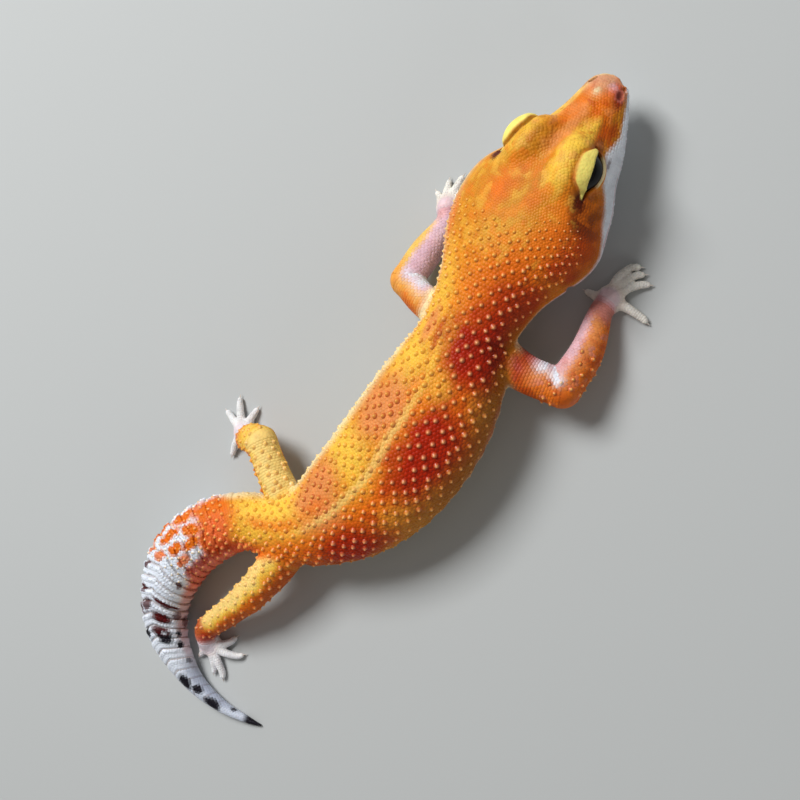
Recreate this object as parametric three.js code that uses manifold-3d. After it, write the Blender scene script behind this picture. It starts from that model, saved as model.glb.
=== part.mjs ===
// A leopard gecko at life size, as a still model: a young adult that stands on
// four bent legs, with its head turned a little on one side and its tail laid
// round in a hook. Millimetres, +Z up, the snout toward +Y and its right side
// toward +X. The floor that it stands on is z = 0.
import * as THREE from 'three';
import { mergeVertices } from 'three/addons/utils/BufferGeometryUtils.js';
import Module from 'manifold-3d';

const wasm = await Module();
wasm.setup();

// ---- Driving dimensions ----------------------------------------------------

const GAP = 0.3; // between neighbouring parts of the body
const BODY_SIDES = 20; // facets round the head, trunk and tail
const LIMB_SIDES = 8;
const TOE_SIDES = 5;
const EYE_FACETS = [14, 8]; // of a ball: round it, and from pole to pole
const BROW_FACETS = [10, 6];
const HOLE_FACETS = [6, 4];
const FOOT_FACETS = [8, 5];
const BEND_FACETS = [LIMB_SIDES, 6];
const RINGS = 2; // of the body's facets between one station and the next
const LEAST_RING = 0.2; // no ring lies closer than this to an end, in stations

// The middle of the animal's footprint, in the numbers used below. It becomes
// the model's origin.
const MIDDLE = { x: 0.4, y: -2.7 };

// The body from snout to tail tip. Each station has its place along the back
// (x, y), the height z of its widest level, half its width there, and how far
// it reaches over and under that level.
const STATIONS = [
  { name: 'snout_tip', x: 3.8, y: 65.7, z: 8.2, half: 0.9, over: 0.9, under: 0.7 },
  { name: 'snout_front', x: 3.8, y: 64.9, z: 8.1, half: 2.8, over: 2.4, under: 1.9 },
  { name: 'nostrils', x: 4.0, y: 63.0, z: 8.0, half: 4.1, over: 3.8, under: 2.6 },
  { name: 'muzzle', x: 4.6, y: 58.5, z: 7.8, half: 6.2, over: 5.2, under: 3.3 },
  { name: 'eye_front', x: 5.0, y: 54.5, z: 7.7, half: 8.0, over: 7.5, under: 3.7 },
  { name: 'eyes', x: 5.1, y: 50.5, z: 7.6, half: 9.6, over: 9.0, under: 4.0 },
  { name: 'eye_back', x: 5.2, y: 46.0, z: 7.6, half: 12.0, over: 9.7, under: 4.2 },
  { name: 'temples', x: 5.0, y: 41.5, z: 7.7, half: 13.9, over: 9.8, under: 4.3 },
  { name: 'jaw_corners', x: 4.9, y: 37.0, z: 8.0, half: 14.0, over: 9.6, under: 4.5 },
  { name: 'ears', x: 5.1, y: 32.5, z: 8.4, half: 12.6, over: 9.0, under: 4.7 },
  { name: 'neck', x: 5.8, y: 26.5, z: 8.8, half: 9.8, over: 7.8, under: 4.8 },
  { name: 'shoulder_front', x: 6.8, y: 19.5, z: 9.0, half: 8.6, over: 7.4, under: 5.4 },
  { name: 'shoulders', x: 8.2, y: 12.5, z: 9.2, half: 10.3, over: 7.8, under: 6.2 },
  { name: 'chest', x: 9.0, y: 5.0, z: 9.2, half: 11.7, over: 8.2, under: 6.8 },
  { name: 'belly_front', x: 9.0, y: -3.0, z: 9.2, half: 12.1, over: 8.4, under: 7.2 },
  { name: 'belly_rear', x: 7.9, y: -11.0, z: 8.9, half: 11.7, over: 8.0, under: 7.0 },
  { name: 'loin', x: 5.4, y: -19.0, z: 8.5, half: 10.3, over: 7.2, under: 6.2 },
  { name: 'hips', x: 1.8, y: -26.0, z: 8.2, half: 7.8, over: 6.2, under: 5.2 },
  { name: 'vent', x: -3.2, y: -30.8, z: 7.6, half: 5.8, over: 5.6, under: 5.0 },
  { name: 'tail_root', x: -9.3, y: -34.0, z: 6.8, half: 5.6, over: 5.4, under: 5.4 },
  { name: 'tail_swell', x: -14.3, y: -39.6, z: 6.2, half: 6.1, over: 5.9, under: 6.2 },
  { name: 'tail_broad', x: -17.2, y: -46.5, z: 5.9, half: 6.2, over: 6.0, under: 6.0 },
  { name: 'tail_bend', x: -17.6, y: -53.0, z: 5.4, half: 5.8, over: 5.6, under: 5.5 },
  { name: 'tail_narrow', x: -15.9, y: -59.5, z: 4.5, half: 4.7, over: 4.6, under: 4.6 },
  { name: 'tail_turn', x: -12.5, y: -64.2, z: 3.7, half: 3.9, over: 3.8, under: 3.8 },
  { name: 'tail_slim', x: -8.0, y: -67.2, z: 2.8, half: 2.9, over: 2.9, under: 2.9 },
  { name: 'tail_whip', x: -2.5, y: -69.2, z: 1.9, half: 2.0, over: 2.0, under: 2.0 },
  { name: 'tail_end', x: 4.0, y: -69.2, z: 1.3, half: 1.35, over: 1.35, under: 1.4 },
  { name: 'tail_point', x: 9.5, y: -67.9, z: 0.8, half: 0.8, over: 0.8, under: 0.9 },
  { name: 'tail_tip', x: 12.6, y: -66.9, z: 0.5, half: 0.3, over: 0.3, under: 0.6 },
];

// Where the body is parted: each length runs from the end of the one before it
// to the named station, or past it by a part of the way to the next.
const LENGTHS = [
  { node: 'neck', from: 'ears', plus: 0.5, colour: 0xd8752a },
  { node: 'trunk_front', from: 'shoulder_front', plus: 0.4, colour: 0xd9822f },
  { node: 'trunk_middle', from: 'chest', plus: 0.5, colour: 0xe39a3c },
  { node: 'trunk_rear', from: 'belly_rear', plus: 0.3, colour: 0xdf8a35 },
  { node: 'tail_root', from: 'vent', plus: 0.3, colour: 0xe8702c },
  { node: 'tail_swell', from: 'tail_swell', plus: 0.5, colour: 0xdfa08a },
  { node: 'tail_middle', from: 'tail_bend', plus: 0.5, colour: 0xd9d6df },
  { node: 'tail_end', from: 'tail_slim', plus: 0, colour: 0xc9ccd8 },
];

// The head leans on its left side by this much, and the lean fades at the neck.
const HEAD_ROLL = THREE.MathUtils.degToRad(9);
const HEAD_YAW = THREE.MathUtils.degToRad(2);
const ROLL_FADES = ['shoulder_front', 'chest'];

// The head's own frame: x to its right, y forward, z up, from a point at the
// middle between the eyes and at mouth level. The eyes look a little forward.
const HEAD_CENTRE = new THREE.Vector3(5.1, 51.0, 7.6);
const EYE = { out: 5.0, forward: -0.7, up: 5.6, radius: 4.0, yaw: THREE.MathUtils.degToRad(16) };
const BROW = { inward: 0.9, back: 0.3, up: 0.3, size: [4.4, 6.2, 4.75] };
const LID = { shell: 0.8, rim: 0.5, half: 4.2, rise: 2.8, drop: 0.5 };
// A nostril and an ear opening lie on the skin, at a place along the stations
// and so many degrees up from the widest level.
const NOSTRIL = { station: 'nostrils', plus: 0.1, degrees: 38, size: [0.6, 0.7, 0.6] };
const EAR = { station: 'jaw_corners', plus: 0.7, degrees: -4, size: [1.3, 0.8, 1.5] };
// The mouth line runs back from the snout to its corner, sagging on the way, and
// the jaw is parted from there down to its hinge.
const MOUTH = {
  front: 16.0, corner: -9.0, level: 0.1, sag: 0.5, hinge: -12.0, hingeDrop: 1.6, under: -20.0,
};

// Each leg is a path of joints with a thickness at each.
const LEGS = {
  right_arm: [
    { x: 10.0, y: 18.8, z: 8.6, r: 4.0 },
    { x: 18.0, y: 18.6, z: 7.8, r: 3.4 },
    { x: 24.9, y: 20.0, z: 6.4, r: 3.3 },
    { x: 24.4, y: 26.8, z: 4.8, r: 3.0 },
    { x: 22.1, y: 33.2, z: 2.8, r: 2.2 },
    { x: 21.7, y: 36.0, z: 1.9, r: 1.9 },
  ],
  left_arm: [
    { x: 3.6, y: 18.8, z: 8.4, r: 3.6 },
    { x: -3.4, y: 18.4, z: 7.4, r: 3.0 },
    { x: -8.9, y: 19.2, z: 6.0, r: 2.9 },
    { x: -9.2, y: 24.8, z: 4.6, r: 3.0 },
    { x: -9.6, y: 30.6, z: 2.8, r: 2.2 },
    { x: -11.3, y: 33.2, z: 1.9, r: 1.9 },
  ],
  right_leg: [
    { x: 0.5, y: -29.0, z: 8.4, r: 4.2 },
    { x: 0.3, y: -37.5, z: 8.0, r: 3.7 },
    { x: -1.2, y: -45.5, z: 7.2, r: 3.1 },
    { x: -3.8, y: -52.2, z: 5.4, r: 2.7 },
    { x: -6.3, y: -58.2, z: 3.3, r: 2.3 },
    { x: -5.6, y: -60.8, z: 2.0, r: 1.9 },
  ],
  left_leg: [
    { x: -1.2, y: -27.4, z: 8.4, r: 3.8 },
    { x: -9.0, y: -23.6, z: 8.2, r: 3.2 },
    { x: -15.4, y: -20.3, z: 7.6, r: 3.0 },
    { x: -18.4, y: -21.8, z: 5.2, r: 2.9 },
    { x: -20.2, y: -23.6, z: 3.0, r: 2.3 },
    { x: -22.0, y: -23.4, z: 1.9, r: 1.9 },
  ],
};

// Toes fan out from the foot. Each has the way that it points, in degrees
// from +X toward +Y, its reach from the middle of the foot, and its side bend.
const FEET = {
  right_arm: {
    x: 21.7, y: 36.0,
    toes: [
      { aim: 196, reach: 5.4, bend: 6 },
      { aim: 84, reach: 8.0, bend: 22 },
      { aim: 72, reach: 7.6, bend: 14 },
      { aim: 55, reach: 7.6, bend: 10 },
      { aim: 2, reach: 8.0, bend: 4 },
    ],
  },
  left_arm: {
    x: -11.5, y: 33.2,
    toes: [
      { aim: 165, reach: 4.8, bend: 4 },
      { aim: 128, reach: 5.8, bend: 6 },
      { aim: 102, reach: 6.8, bend: 4 },
      { aim: 78, reach: 6.6, bend: 0 },
      { aim: 40, reach: 5.6, bend: -6 },
    ],
  },
  right_leg: {
    x: -5.0, y: -61.2,
    toes: [
      { aim: 262, reach: 4.6, bend: 0 },
      { aim: 312, reach: 6.6, bend: 8 },
      { aim: 328, reach: 8.0, bend: 6 },
      { aim: 20, reach: 8.2, bend: -10 },
      { aim: 48, reach: 6.6, bend: -14 },
    ],
  },
  left_leg: {
    x: -22.2, y: -23.5,
    toes: [
      { aim: 46, reach: 5.4, bend: 0 },
      { aim: 98, reach: 6.0, bend: 4 },
      { aim: 138, reach: 7.6, bend: 4 },
      { aim: 172, reach: 6.8, bend: 0 },
      { aim: 268, reach: 6.2, bend: -8 },
    ],
  },
};
const BEND = 2; // which of a leg's joints is its elbow or knee
const WRIST = 4; // and its wrist or ankle
const FOOT_SIZE = [2.5, 2.5, 1.5];
const FOOT_SUNK = 0.3; // how much of the sole's roundness is cut flat
const TOE = { root: 0.95, pad: 0.66, arch: 0.5, claw: 1.3, clawRoot: 0.36, clawTip: 0.13 };

// ---- Solids ----------------------------------------------------------------

const stationIndex = (name) => STATIONS.findIndex((station) => station.name === name);

const spine = new THREE.CatmullRomCurve3(
  STATIONS.map(({ x, y, z }) => new THREE.Vector3(x, y, z)), false, 'catmullrom', 0.5);
const sizes = new THREE.CatmullRomCurve3(
  STATIONS.map(({ half, over, under }) => new THREE.Vector3(half, over, under)),
  false, 'catmullrom', 0.5);

// A closed mesh through rings of equal count, with a fan over each end.
function loft(rings) {
  const count = rings[0].length;
  const points = rings.flat();
  const middle = (ring) =>
    ring.reduce((sum, p) => sum.add(p), new THREE.Vector3()).divideScalar(ring.length);
  points.push(middle(rings[0]), middle(rings.at(-1)));
  const faces = [];
  for (let r = 0; r + 1 < rings.length; r += 1) {
    for (let k = 0; k < count; k += 1) {
      const next = (k + 1) % count;
      const [a, b] = [r * count + k, r * count + next];
      const [c, d] = [a + count, b + count];
      faces.push(a, b, d, a, d, c);
    }
  }
  const last = (rings.length - 1) * count;
  for (let k = 0; k < count; k += 1) {
    const next = (k + 1) % count;
    faces.push(points.length - 2, next, k);
    faces.push(points.length - 1, last + k, last + next);
  }
  const geometry = new THREE.BufferGeometry();
  geometry.setAttribute('position',
    new THREE.Float32BufferAttribute(points.flatMap((p) => p.toArray()), 3));
  geometry.setIndex(faces);
  return geometry;
}

function solid(geometry) {
  const bare = geometry.clone();
  bare.deleteAttribute('normal');
  bare.deleteAttribute('uv');
  const merged = mergeVertices(bare, 1e-4);
  const made = new wasm.Manifold(new wasm.Mesh({
    numProp: 3,
    vertProperties: merged.attributes.position.array,
    triVerts: new Uint32Array(merged.index.array),
  }));
  if (made.volume() > 0) return made;
  const turned = new Uint32Array(merged.index.array).reverse();
  return new wasm.Manifold(new wasm.Mesh({
    numProp: 3, vertProperties: merged.attributes.position.array, triVerts: turned,
  }));
}

const joined = (solids) => solids.reduce((sum, one) => sum.add(one));

// The body's own axes and reach at a place t along the stations. A point of
// its surface is so far round from the right side over the back.
function bodyFrame(t) {
  const share = t / (STATIONS.length - 1);
  const forward = spine.getTangent(share).negate();
  const roll = HEAD_ROLL
    * (1 - THREE.MathUtils.smoothstep(t, ...ROLL_FADES.map(stationIndex)));
  const right = new THREE.Vector3(forward.y, -forward.x, 0).normalize();
  const up = new THREE.Vector3().crossVectors(right, forward);
  return {
    centre: spine.getPoint(share),
    right: right.applyAxisAngle(forward, -roll),
    up: up.applyAxisAngle(forward, -roll),
    reach: sizes.getPoint(share).toArray(),
  };
}

function bodyPoint({ centre, right, up, reach: [half, over, under] }, angle, grow) {
  const rise = Math.sin(angle);
  return centre.clone()
    .addScaledVector(right, (half + grow) * Math.cos(angle))
    .addScaledVector(up, ((rise > 0 ? over : under) + grow) * rise);
}

function bodyRing(t, grow) {
  const frame = bodyFrame(t);
  return Array.from({ length: BODY_SIDES }, (_, k) =>
    bodyPoint(frame, (2 * Math.PI * k) / BODY_SIDES, grow));
}

function bodyLength(from, to, grow = 0) {
  const places = [from];
  for (let t = Math.floor(from * RINGS + 1) / RINGS; t < to - LEAST_RING; t += 1 / RINGS) {
    if (t > from + LEAST_RING) places.push(t);
  }
  places.push(to);
  return solid(loft(places.map((t) => bodyRing(t, grow))));
}

// Half the gap, counted in stations, at a place t along the body.
function halfGap(t) {
  const reach = 0.1;
  const [before, after] = [-reach, reach].map((off) =>
    spine.getPoint((t + off) / (STATIONS.length - 1)));
  return (GAP / 2) * ((2 * reach) / before.distanceTo(after));
}

// A round tube along joints, each with a thickness.
function tube(joints, sides, steps) {
  const path = new THREE.CatmullRomCurve3(
    joints.map(({ x, y, z }) => new THREE.Vector3(x, y, z)), false, 'catmullrom', 0.5);
  const thickness = new THREE.CatmullRomCurve3(
    joints.map(({ r }) => new THREE.Vector3(r, 0, 0)), false, 'catmullrom', 0.5);
  const rings = [];
  for (let i = 0; i <= steps; i += 1) {
    const along = path.getTangent(i / steps);
    const side = new THREE.Vector3(along.y, -along.x, 0).normalize();
    const up = new THREE.Vector3().crossVectors(side, along);
    const centre = path.getPoint(i / steps);
    const r = thickness.getPoint(i / steps).x;
    const ring = [];
    for (let k = 0; k < sides; k += 1) {
      const angle = (2 * Math.PI * k) / sides;
      ring.push(centre.clone()
        .addScaledVector(side, r * Math.cos(angle))
        .addScaledVector(up, r * Math.sin(angle)));
    }
    rings.push(ring);
  }
  return solid(loft(rings));
}

function ball(centre, size, [around, down], frame = new THREE.Matrix4()) {
  return solid(new THREE.SphereGeometry(1, around, down)
    .scale(...size).translate(...centre).applyMatrix4(frame));
}

// A block to cut with: everything beyond a plane, which is moved so far off.
function halfSpace(point, normal, off) {
  const size = 200;
  const turn = new THREE.Quaternion().setFromUnitVectors(new THREE.Vector3(0, 0, 1), normal);
  return solid(new THREE.BoxGeometry(size, size, size)
    .translate(0, 0, size / 2 + off).applyQuaternion(turn)
    .translate(point.x, point.y, point.z));
}

const ground = halfSpace(new THREE.Vector3(0, 0, 0), new THREE.Vector3(0, 0, -1), 0);

// ---- Head ------------------------------------------------------------------

const headFrame = new THREE.Matrix4().makeTranslation(HEAD_CENTRE)
  .multiply(new THREE.Matrix4().makeRotationZ(HEAD_YAW))
  .multiply(new THREE.Matrix4().makeRotationY(-HEAD_ROLL));
const headEnd = stationIndex('ears') + 0.5;

// An outline drawn forward and up is given a width across the head.
function acrossHead(shape, width, frame) {
  return solid(new THREE.ExtrudeGeometry(shape,
    { depth: width, bevelEnabled: false, curveSegments: 5 })
    .translate(0, 0, -width / 2)
    .applyMatrix4(new THREE.Matrix4().makeBasis(
      new THREE.Vector3(0, 1, 0), new THREE.Vector3(0, 0, 1), new THREE.Vector3(1, 0, 0)))
    .applyMatrix4(frame));
}

// The rim of one lid lies on the eyeball, from the eye's front to its back.
function lidRim(side, frame, rise) {
  const joints = [];
  for (let i = -4; i <= 4; i += 1) {
    const share = i / 4;
    const along = share * LID.half;
    const up = rise * (1 - share ** 2);
    const out = Math.sqrt(Math.max(0, (EYE.radius + GAP) ** 2 - along ** 2 * 0.8 - up ** 2));
    const point = new THREE.Vector3(side * out, along, up).applyMatrix4(frame);
    joints.push({ x: point.x, y: point.y, z: point.z, r: LID.rim * (1 - 0.4 * share ** 2) });
  }
  return tube(joints, 4, 5);
}

// The lids part along a pointed oval in front of the eyeball.
function lidOpening() {
  const shape = new THREE.Shape();
  shape.moveTo(-LID.half, 0);
  shape.quadraticCurveTo(0, 2 * LID.rise - LID.rim, LID.half, 0);
  shape.quadraticCurveTo(0, -2 * LID.drop + LID.rim, -LID.half, 0);
  return shape;
}

// The side view of the lower jaw, from the mouth line down, with a margin.
function jawOutline(margin) {
  const { front, corner, level, sag, under } = MOUTH;
  const top = (forward) => level + margin
    - sag * Math.sin((Math.PI * (forward - corner)) / (front - corner));
  const hinge = MOUTH.hinge - margin * 1.5;
  const shape = new THREE.Shape();
  shape.moveTo(hinge, under);
  shape.lineTo(front, under);
  for (let i = 0; i <= 6; i += 1) {
    const forward = front + (i / 6) * (corner - front);
    shape.lineTo(forward, top(forward));
  }
  shape.lineTo(hinge, top(corner) - MOUTH.hingeDrop);
  return shape;
}

function buildHead() {
  let head = bodyLength(0, headEnd - halfGap(headEnd));
  const hollows = [];
  const eyes = {};
  for (const [name, side] of [['right', 1], ['left', -1]]) {
    const frame = headFrame.clone()
      .multiply(new THREE.Matrix4().makeTranslation(side * EYE.out, EYE.forward, EYE.up))
      .multiply(new THREE.Matrix4().makeRotationZ(side * EYE.yaw));
    head = head
      .add(ball([-side * BROW.inward, -BROW.back, BROW.up], BROW.size, BROW_FACETS, frame))
      .add(ball([0, 0, 0], Array(3).fill(EYE.radius + LID.shell), EYE_FACETS, frame))
      .add(lidRim(side, frame, LID.rise))
      .add(lidRim(side, frame, -LID.drop));
    hollows.push(
      ball([0, 0, 0], Array(3).fill(EYE.radius + GAP), EYE_FACETS, frame),
      acrossHead(lidOpening(), 8, frame.clone()
        .multiply(new THREE.Matrix4().makeTranslation(side * (EYE.radius + 1), 0, 0))),
      ...[NOSTRIL, EAR].map(({ station, plus, degrees, size }) => {
        const around = THREE.MathUtils.degToRad(side > 0 ? degrees : 180 - degrees);
        const place = bodyFrame(stationIndex(station) + plus);
        return ball(bodyPoint(place, around, 0).toArray(), size, HOLE_FACETS);
      }));
    eyes[`eye_${name}`] = ball([0, 0, 0], Array(3).fill(EYE.radius), EYE_FACETS, frame);
  }
  head = head.subtract(joined(hollows));
  const across = 40;
  return {
    head: head.subtract(acrossHead(jawOutline(GAP), across, headFrame)),
    lower_jaw: head.intersect(acrossHead(jawOutline(0), across, headFrame)),
    ...eyes,
  };
}

// ---- Legs ------------------------------------------------------------------

function buildFoot({ x, y, toes }) {
  const parts = [ball([x, y, FOOT_SIZE[2] - FOOT_SUNK], FOOT_SIZE, FOOT_FACETS)];
  for (const { aim, reach, bend } of toes) {
    const joint = (turn, far, z, r) => {
      const angle = THREE.MathUtils.degToRad(aim + turn);
      return { x: x + far * Math.cos(angle), y: y + far * Math.sin(angle), z, r };
    };
    parts.push(tube([
      joint(bend, 0.8, 1.0, TOE.root),
      joint(bend, reach * 0.42, 0.7 + TOE.arch, TOE.root * 0.85),
      joint(bend * 0.4, reach - TOE.claw * 1.6, 0.75, TOE.pad),
      joint(0, reach - TOE.claw, 0.75, TOE.clawRoot),
      joint(0, reach, 0.3, TOE.clawTip),
    ], TOE_SIDES, 5));
  }
  return joined(parts);
}

const bodyGrown = bodyLength(0, STATIONS.length - 1, GAP);

const jointAt = ({ x, y, z }) => new THREE.Vector3(x, y, z);
const way = (from, to) => jointAt(to).sub(jointAt(from)).normalize();

// Two tubes meet in a ball at the elbow or knee.
function legFlesh(joints, grow) {
  const grown = joints.map((joint) => ({ ...joint, r: joint.r + grow }));
  const { x, y, z, r } = grown[BEND];
  return tube(grown.slice(0, BEND + 1), LIMB_SIDES, 3)
    .add(tube(grown.slice(BEND), LIMB_SIDES, 5))
    .add(ball([x, y, z], Array(3).fill(r), BEND_FACETS));
}

// A leg is parted across its bend, and across its wrist or ankle. The foot
// leaves room for the end of the shank.
function buildLeg(name) {
  const joints = LEGS[name];
  const bendWay = way(joints[BEND - 1], joints[BEND])
    .add(way(joints[BEND], joints[BEND + 1])).normalize();
  const wristWay = way(joints[WRIST - 1], joints[WRIST + 1]);
  const sideOf = (joint, normal, off) => halfSpace(jointAt(joints[joint]), normal, off);
  const before = (normal) => normal.clone().negate();
  const whole = legFlesh(joints, 0);
  const beforeWrist = sideOf(WRIST, before(wristWay), GAP / 2);
  const upper = whole.intersect(sideOf(BEND, before(bendWay), GAP / 2))
    .intersect(beforeWrist).subtract(bodyGrown);
  const lower = whole.intersect(sideOf(BEND, bendWay, GAP / 2)).intersect(beforeWrist);
  const shankRoom = legFlesh(joints, GAP).intersect(sideOf(WRIST, before(wristWay), -GAP / 2));
  const end = whole.intersect(sideOf(WRIST, wristWay, GAP / 2))
    .add(buildFoot(FEET[name])).subtract(shankRoom).subtract(ground);
  return [upper, lower, end];
}

// ---- The whole -------------------------------------------------------------

const HEAD_COLOUR = 0xe59a2e;
const LEG_COLOUR = 0xe8943a;
const FOOT_COLOUR = 0xd5d3cc;

const skinLook = (color) => new THREE.MeshStandardMaterial({ color, roughness: 0.6, metalness: 0 });
const eyeLook = new THREE.MeshStandardMaterial({ color: 0x14100e, roughness: 0.05, metalness: 0 });

const gecko = new THREE.Group();

function place(name, made, material) {
  const mesh = made.getMesh();
  const geometry = new THREE.BufferGeometry();
  geometry.setAttribute('position',
    new THREE.Float32BufferAttribute(Float32Array.from(mesh.vertProperties), 3));
  geometry.setIndex([...mesh.triVerts]);
  geometry.translate(-MIDDLE.x, -MIDDLE.y, 0);
  geometry.computeVertexNormals();
  const piece = new THREE.Mesh(geometry, material);
  piece.name = name;
  gecko.add(piece);
}

for (const [name, made] of Object.entries(buildHead())) {
  place(name, made, name.startsWith('eye') ? eyeLook : skinLook(HEAD_COLOUR));
}

LENGTHS.forEach(({ node, from, plus, colour }, i) => {
  const start = stationIndex(from) + plus;
  const next = LENGTHS[i + 1];
  const end = next ? stationIndex(next.from) + next.plus : STATIONS.length - 1;
  const made = bodyLength(start + halfGap(start), next ? end - halfGap(end) : end);
  place(node, made.subtract(ground), skinLook(colour));
});

const LEG_PARTS = {
  arm: ['upper_arm', 'forearm', 'hand'],
  leg: ['thigh', 'shank', 'foot'],
};
for (const side of ['right', 'left']) {
  for (const [kind, parts] of Object.entries(LEG_PARTS)) {
    const [upper, lower, end] = buildLeg(`${side}_${kind}`);
    place(`${parts[0]}_${side}`, upper, skinLook(LEG_COLOUR));
    place(`${parts[1]}_${side}`, lower, skinLook(LEG_COLOUR));
    place(`${parts[2]}_${side}`, end, skinLook(FOOT_COLOUR));
  }
}

export default gecko;
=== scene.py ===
# A leopard gecko at life size, as a still museum model. It is dressed piece by
# piece over the solids of the frame: one skin over all the flesh, the eyes, the
# claws, and the scales that stand on the skin. Lengths are in millimetres where
# a name says nothing else, and become metres when a mesh is made.
import math
import bpy
import numpy as np
from mathutils import Matrix, Vector
from mathutils.bvhtree import BVHTree


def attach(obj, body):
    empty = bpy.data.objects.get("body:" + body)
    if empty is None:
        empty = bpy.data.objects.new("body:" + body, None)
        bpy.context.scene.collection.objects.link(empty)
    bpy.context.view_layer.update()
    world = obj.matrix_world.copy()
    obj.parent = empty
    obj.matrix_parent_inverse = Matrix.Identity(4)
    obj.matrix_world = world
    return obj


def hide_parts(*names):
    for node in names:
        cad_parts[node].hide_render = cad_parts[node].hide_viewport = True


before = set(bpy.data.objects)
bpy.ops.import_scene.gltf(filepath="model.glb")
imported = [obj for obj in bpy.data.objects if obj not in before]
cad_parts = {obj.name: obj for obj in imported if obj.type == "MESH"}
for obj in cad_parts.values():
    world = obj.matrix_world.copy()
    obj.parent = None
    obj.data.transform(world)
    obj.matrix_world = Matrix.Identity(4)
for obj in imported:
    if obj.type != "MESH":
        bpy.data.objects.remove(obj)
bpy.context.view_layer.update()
MM = 0.001

# ---- Skin -------------------------------------------------------------------
# One skin covers the whole animal, from the lips to the tail tip and down to
# the toes: dry, thin and loose, laid over a full body. Its shape is worked out
# as a depth below or above the surface at any point, and meshed from that.

MIDDLE = np.array([0.4, -2.7, 0.0])  # the middle of the footprint, in the stations' numbers

# Along the back from snout to tail tip: place (x, y), height of the widest
# level, half width there, and reach over and under that level.
STATIONS = {
    "snout_tip": (3.8, 65.7, 8.2, 0.9, 0.9, 0.7),
    "snout_front": (3.8, 64.9, 8.1, 2.8, 2.4, 1.9),
    "nostrils": (4.0, 63.0, 8.0, 4.1, 3.8, 2.6),
    "muzzle": (4.6, 58.5, 7.8, 6.2, 5.2, 3.3),
    "eye_front": (5.0, 54.5, 7.7, 8.0, 7.5, 3.7),
    "eyes": (5.1, 50.5, 7.6, 9.6, 9.0, 4.0),
    "eye_back": (5.2, 46.0, 7.6, 12.0, 9.7, 4.2),
    "temples": (5.0, 41.5, 7.7, 13.9, 9.8, 4.3),
    "jaw_corners": (4.9, 37.0, 8.0, 14.0, 9.6, 4.5),
    "ears": (5.1, 32.5, 8.4, 12.6, 9.0, 4.7),
    "neck": (5.8, 26.5, 8.8, 9.8, 7.8, 4.8),
    "shoulder_front": (6.8, 19.5, 9.0, 8.6, 7.4, 5.4),
    "shoulders": (8.2, 12.5, 9.2, 10.3, 7.8, 6.2),
    "chest": (9.0, 5.0, 9.2, 11.7, 8.2, 6.8),
    "belly_front": (9.0, -3.0, 9.2, 12.1, 8.4, 7.2),
    "belly_rear": (7.9, -11.0, 8.9, 11.7, 8.0, 7.0),
    "loin": (5.4, -19.0, 8.5, 10.3, 7.2, 6.2),
    "hips": (1.8, -26.0, 8.2, 7.8, 6.2, 5.2),
    "vent": (-3.2, -30.8, 7.6, 5.8, 5.6, 5.0),
    "tail_root": (-9.3, -34.0, 6.8, 5.6, 5.4, 5.4),
    "tail_swell": (-14.3, -39.6, 6.2, 6.1, 5.9, 6.2),
    "tail_broad": (-17.2, -46.5, 5.9, 6.2, 6.0, 6.0),
    "tail_bend": (-17.6, -53.0, 5.4, 5.8, 5.6, 5.5),
    "tail_narrow": (-15.9, -59.5, 4.5, 4.7, 4.6, 4.6),
    "tail_turn": (-12.5, -64.2, 3.7, 3.9, 3.8, 3.8),
    "tail_slim": (-8.0, -67.2, 2.8, 2.9, 2.9, 2.9),
    "tail_whip": (-2.5, -69.2, 1.9, 2.0, 2.0, 2.0),
    "tail_end": (4.0, -69.2, 1.3, 1.35, 1.35, 1.4),
    "tail_point": (9.5, -67.9, 0.8, 0.8, 0.8, 0.9),
    "tail_tip": (12.6, -66.9, 0.5, 0.3, 0.3, 0.6),
}
AT = {name: i for i, name in enumerate(STATIONS)}
HEAD_ROLL, HEAD_YAW = math.radians(9), math.radians(2)
HEAD_CENTRE = np.array([5.1, 51.0, 7.6])


def unit(v):
    return v / np.linalg.norm(v, axis=-1, keepdims=True)


def ease(low, high, x):
    """A smooth step from 0 at low to 1 at high."""
    u = np.clip((x - low) / (high - low), 0, 1)
    return u * u * (3 - 2 * u)


def smooth_rows(rows, t):
    """A table of rows read at places t along it, on a smooth curve."""
    rows = np.asarray(rows, float)
    rows = np.vstack([2 * rows[0] - rows[1], rows, 2 * rows[-1] - rows[-2]])
    i = np.clip(np.floor(t).astype(int), 0, len(rows) - 4)
    u = (t - i)[:, None]
    a, b, c, d = rows[i], rows[i + 1], rows[i + 2], rows[i + 3]
    return b + 0.5 * u * (c - a + u * (2 * a - 5 * b + 4 * c - d + u * (3 * (b - c) + d - a)))


PER_STATION = 16
BACK_T = np.arange((len(STATIONS) - 1) * PER_STATION + 1) / PER_STATION
BACK = smooth_rows(list(STATIONS.values()), BACK_T)
BACK_AT = BACK[:, :3] - MIDDLE
BACK_SIZE = BACK[:, 3:]
ahead = -np.gradient(BACK_AT, axis=0)
BACK_STEP = np.linalg.norm(ahead, axis=1)
AHEAD = unit(ahead)
roll = HEAD_ROLL * (1 - ease(AT["shoulder_front"], AT["chest"], BACK_T))[:, None]
level_right = unit(np.cross(AHEAD, [0, 0, 1]))
level_up = np.cross(level_right, AHEAD)
RIGHT = level_right * np.cos(roll) + level_up * np.sin(roll)
UP = level_up * np.cos(roll) - level_right * np.sin(roll)
BACK_LENGTH = np.concatenate([[0], np.cumsum(np.linalg.norm(np.diff(BACK_AT, axis=0), axis=1))])


def nearest(points, chain):
    """For each point, the index of the nearest point of a chain."""
    out = np.empty(len(points), int)
    chain32 = chain.astype(np.float32)
    square = (chain32 ** 2).sum(1)
    for i in range(0, len(points), 65536):
        part = points[i:i + 65536].astype(np.float32)
        out[i:i + 65536] = np.argmin(square - 2 * part @ chain32.T, axis=1)
    return out


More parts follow.
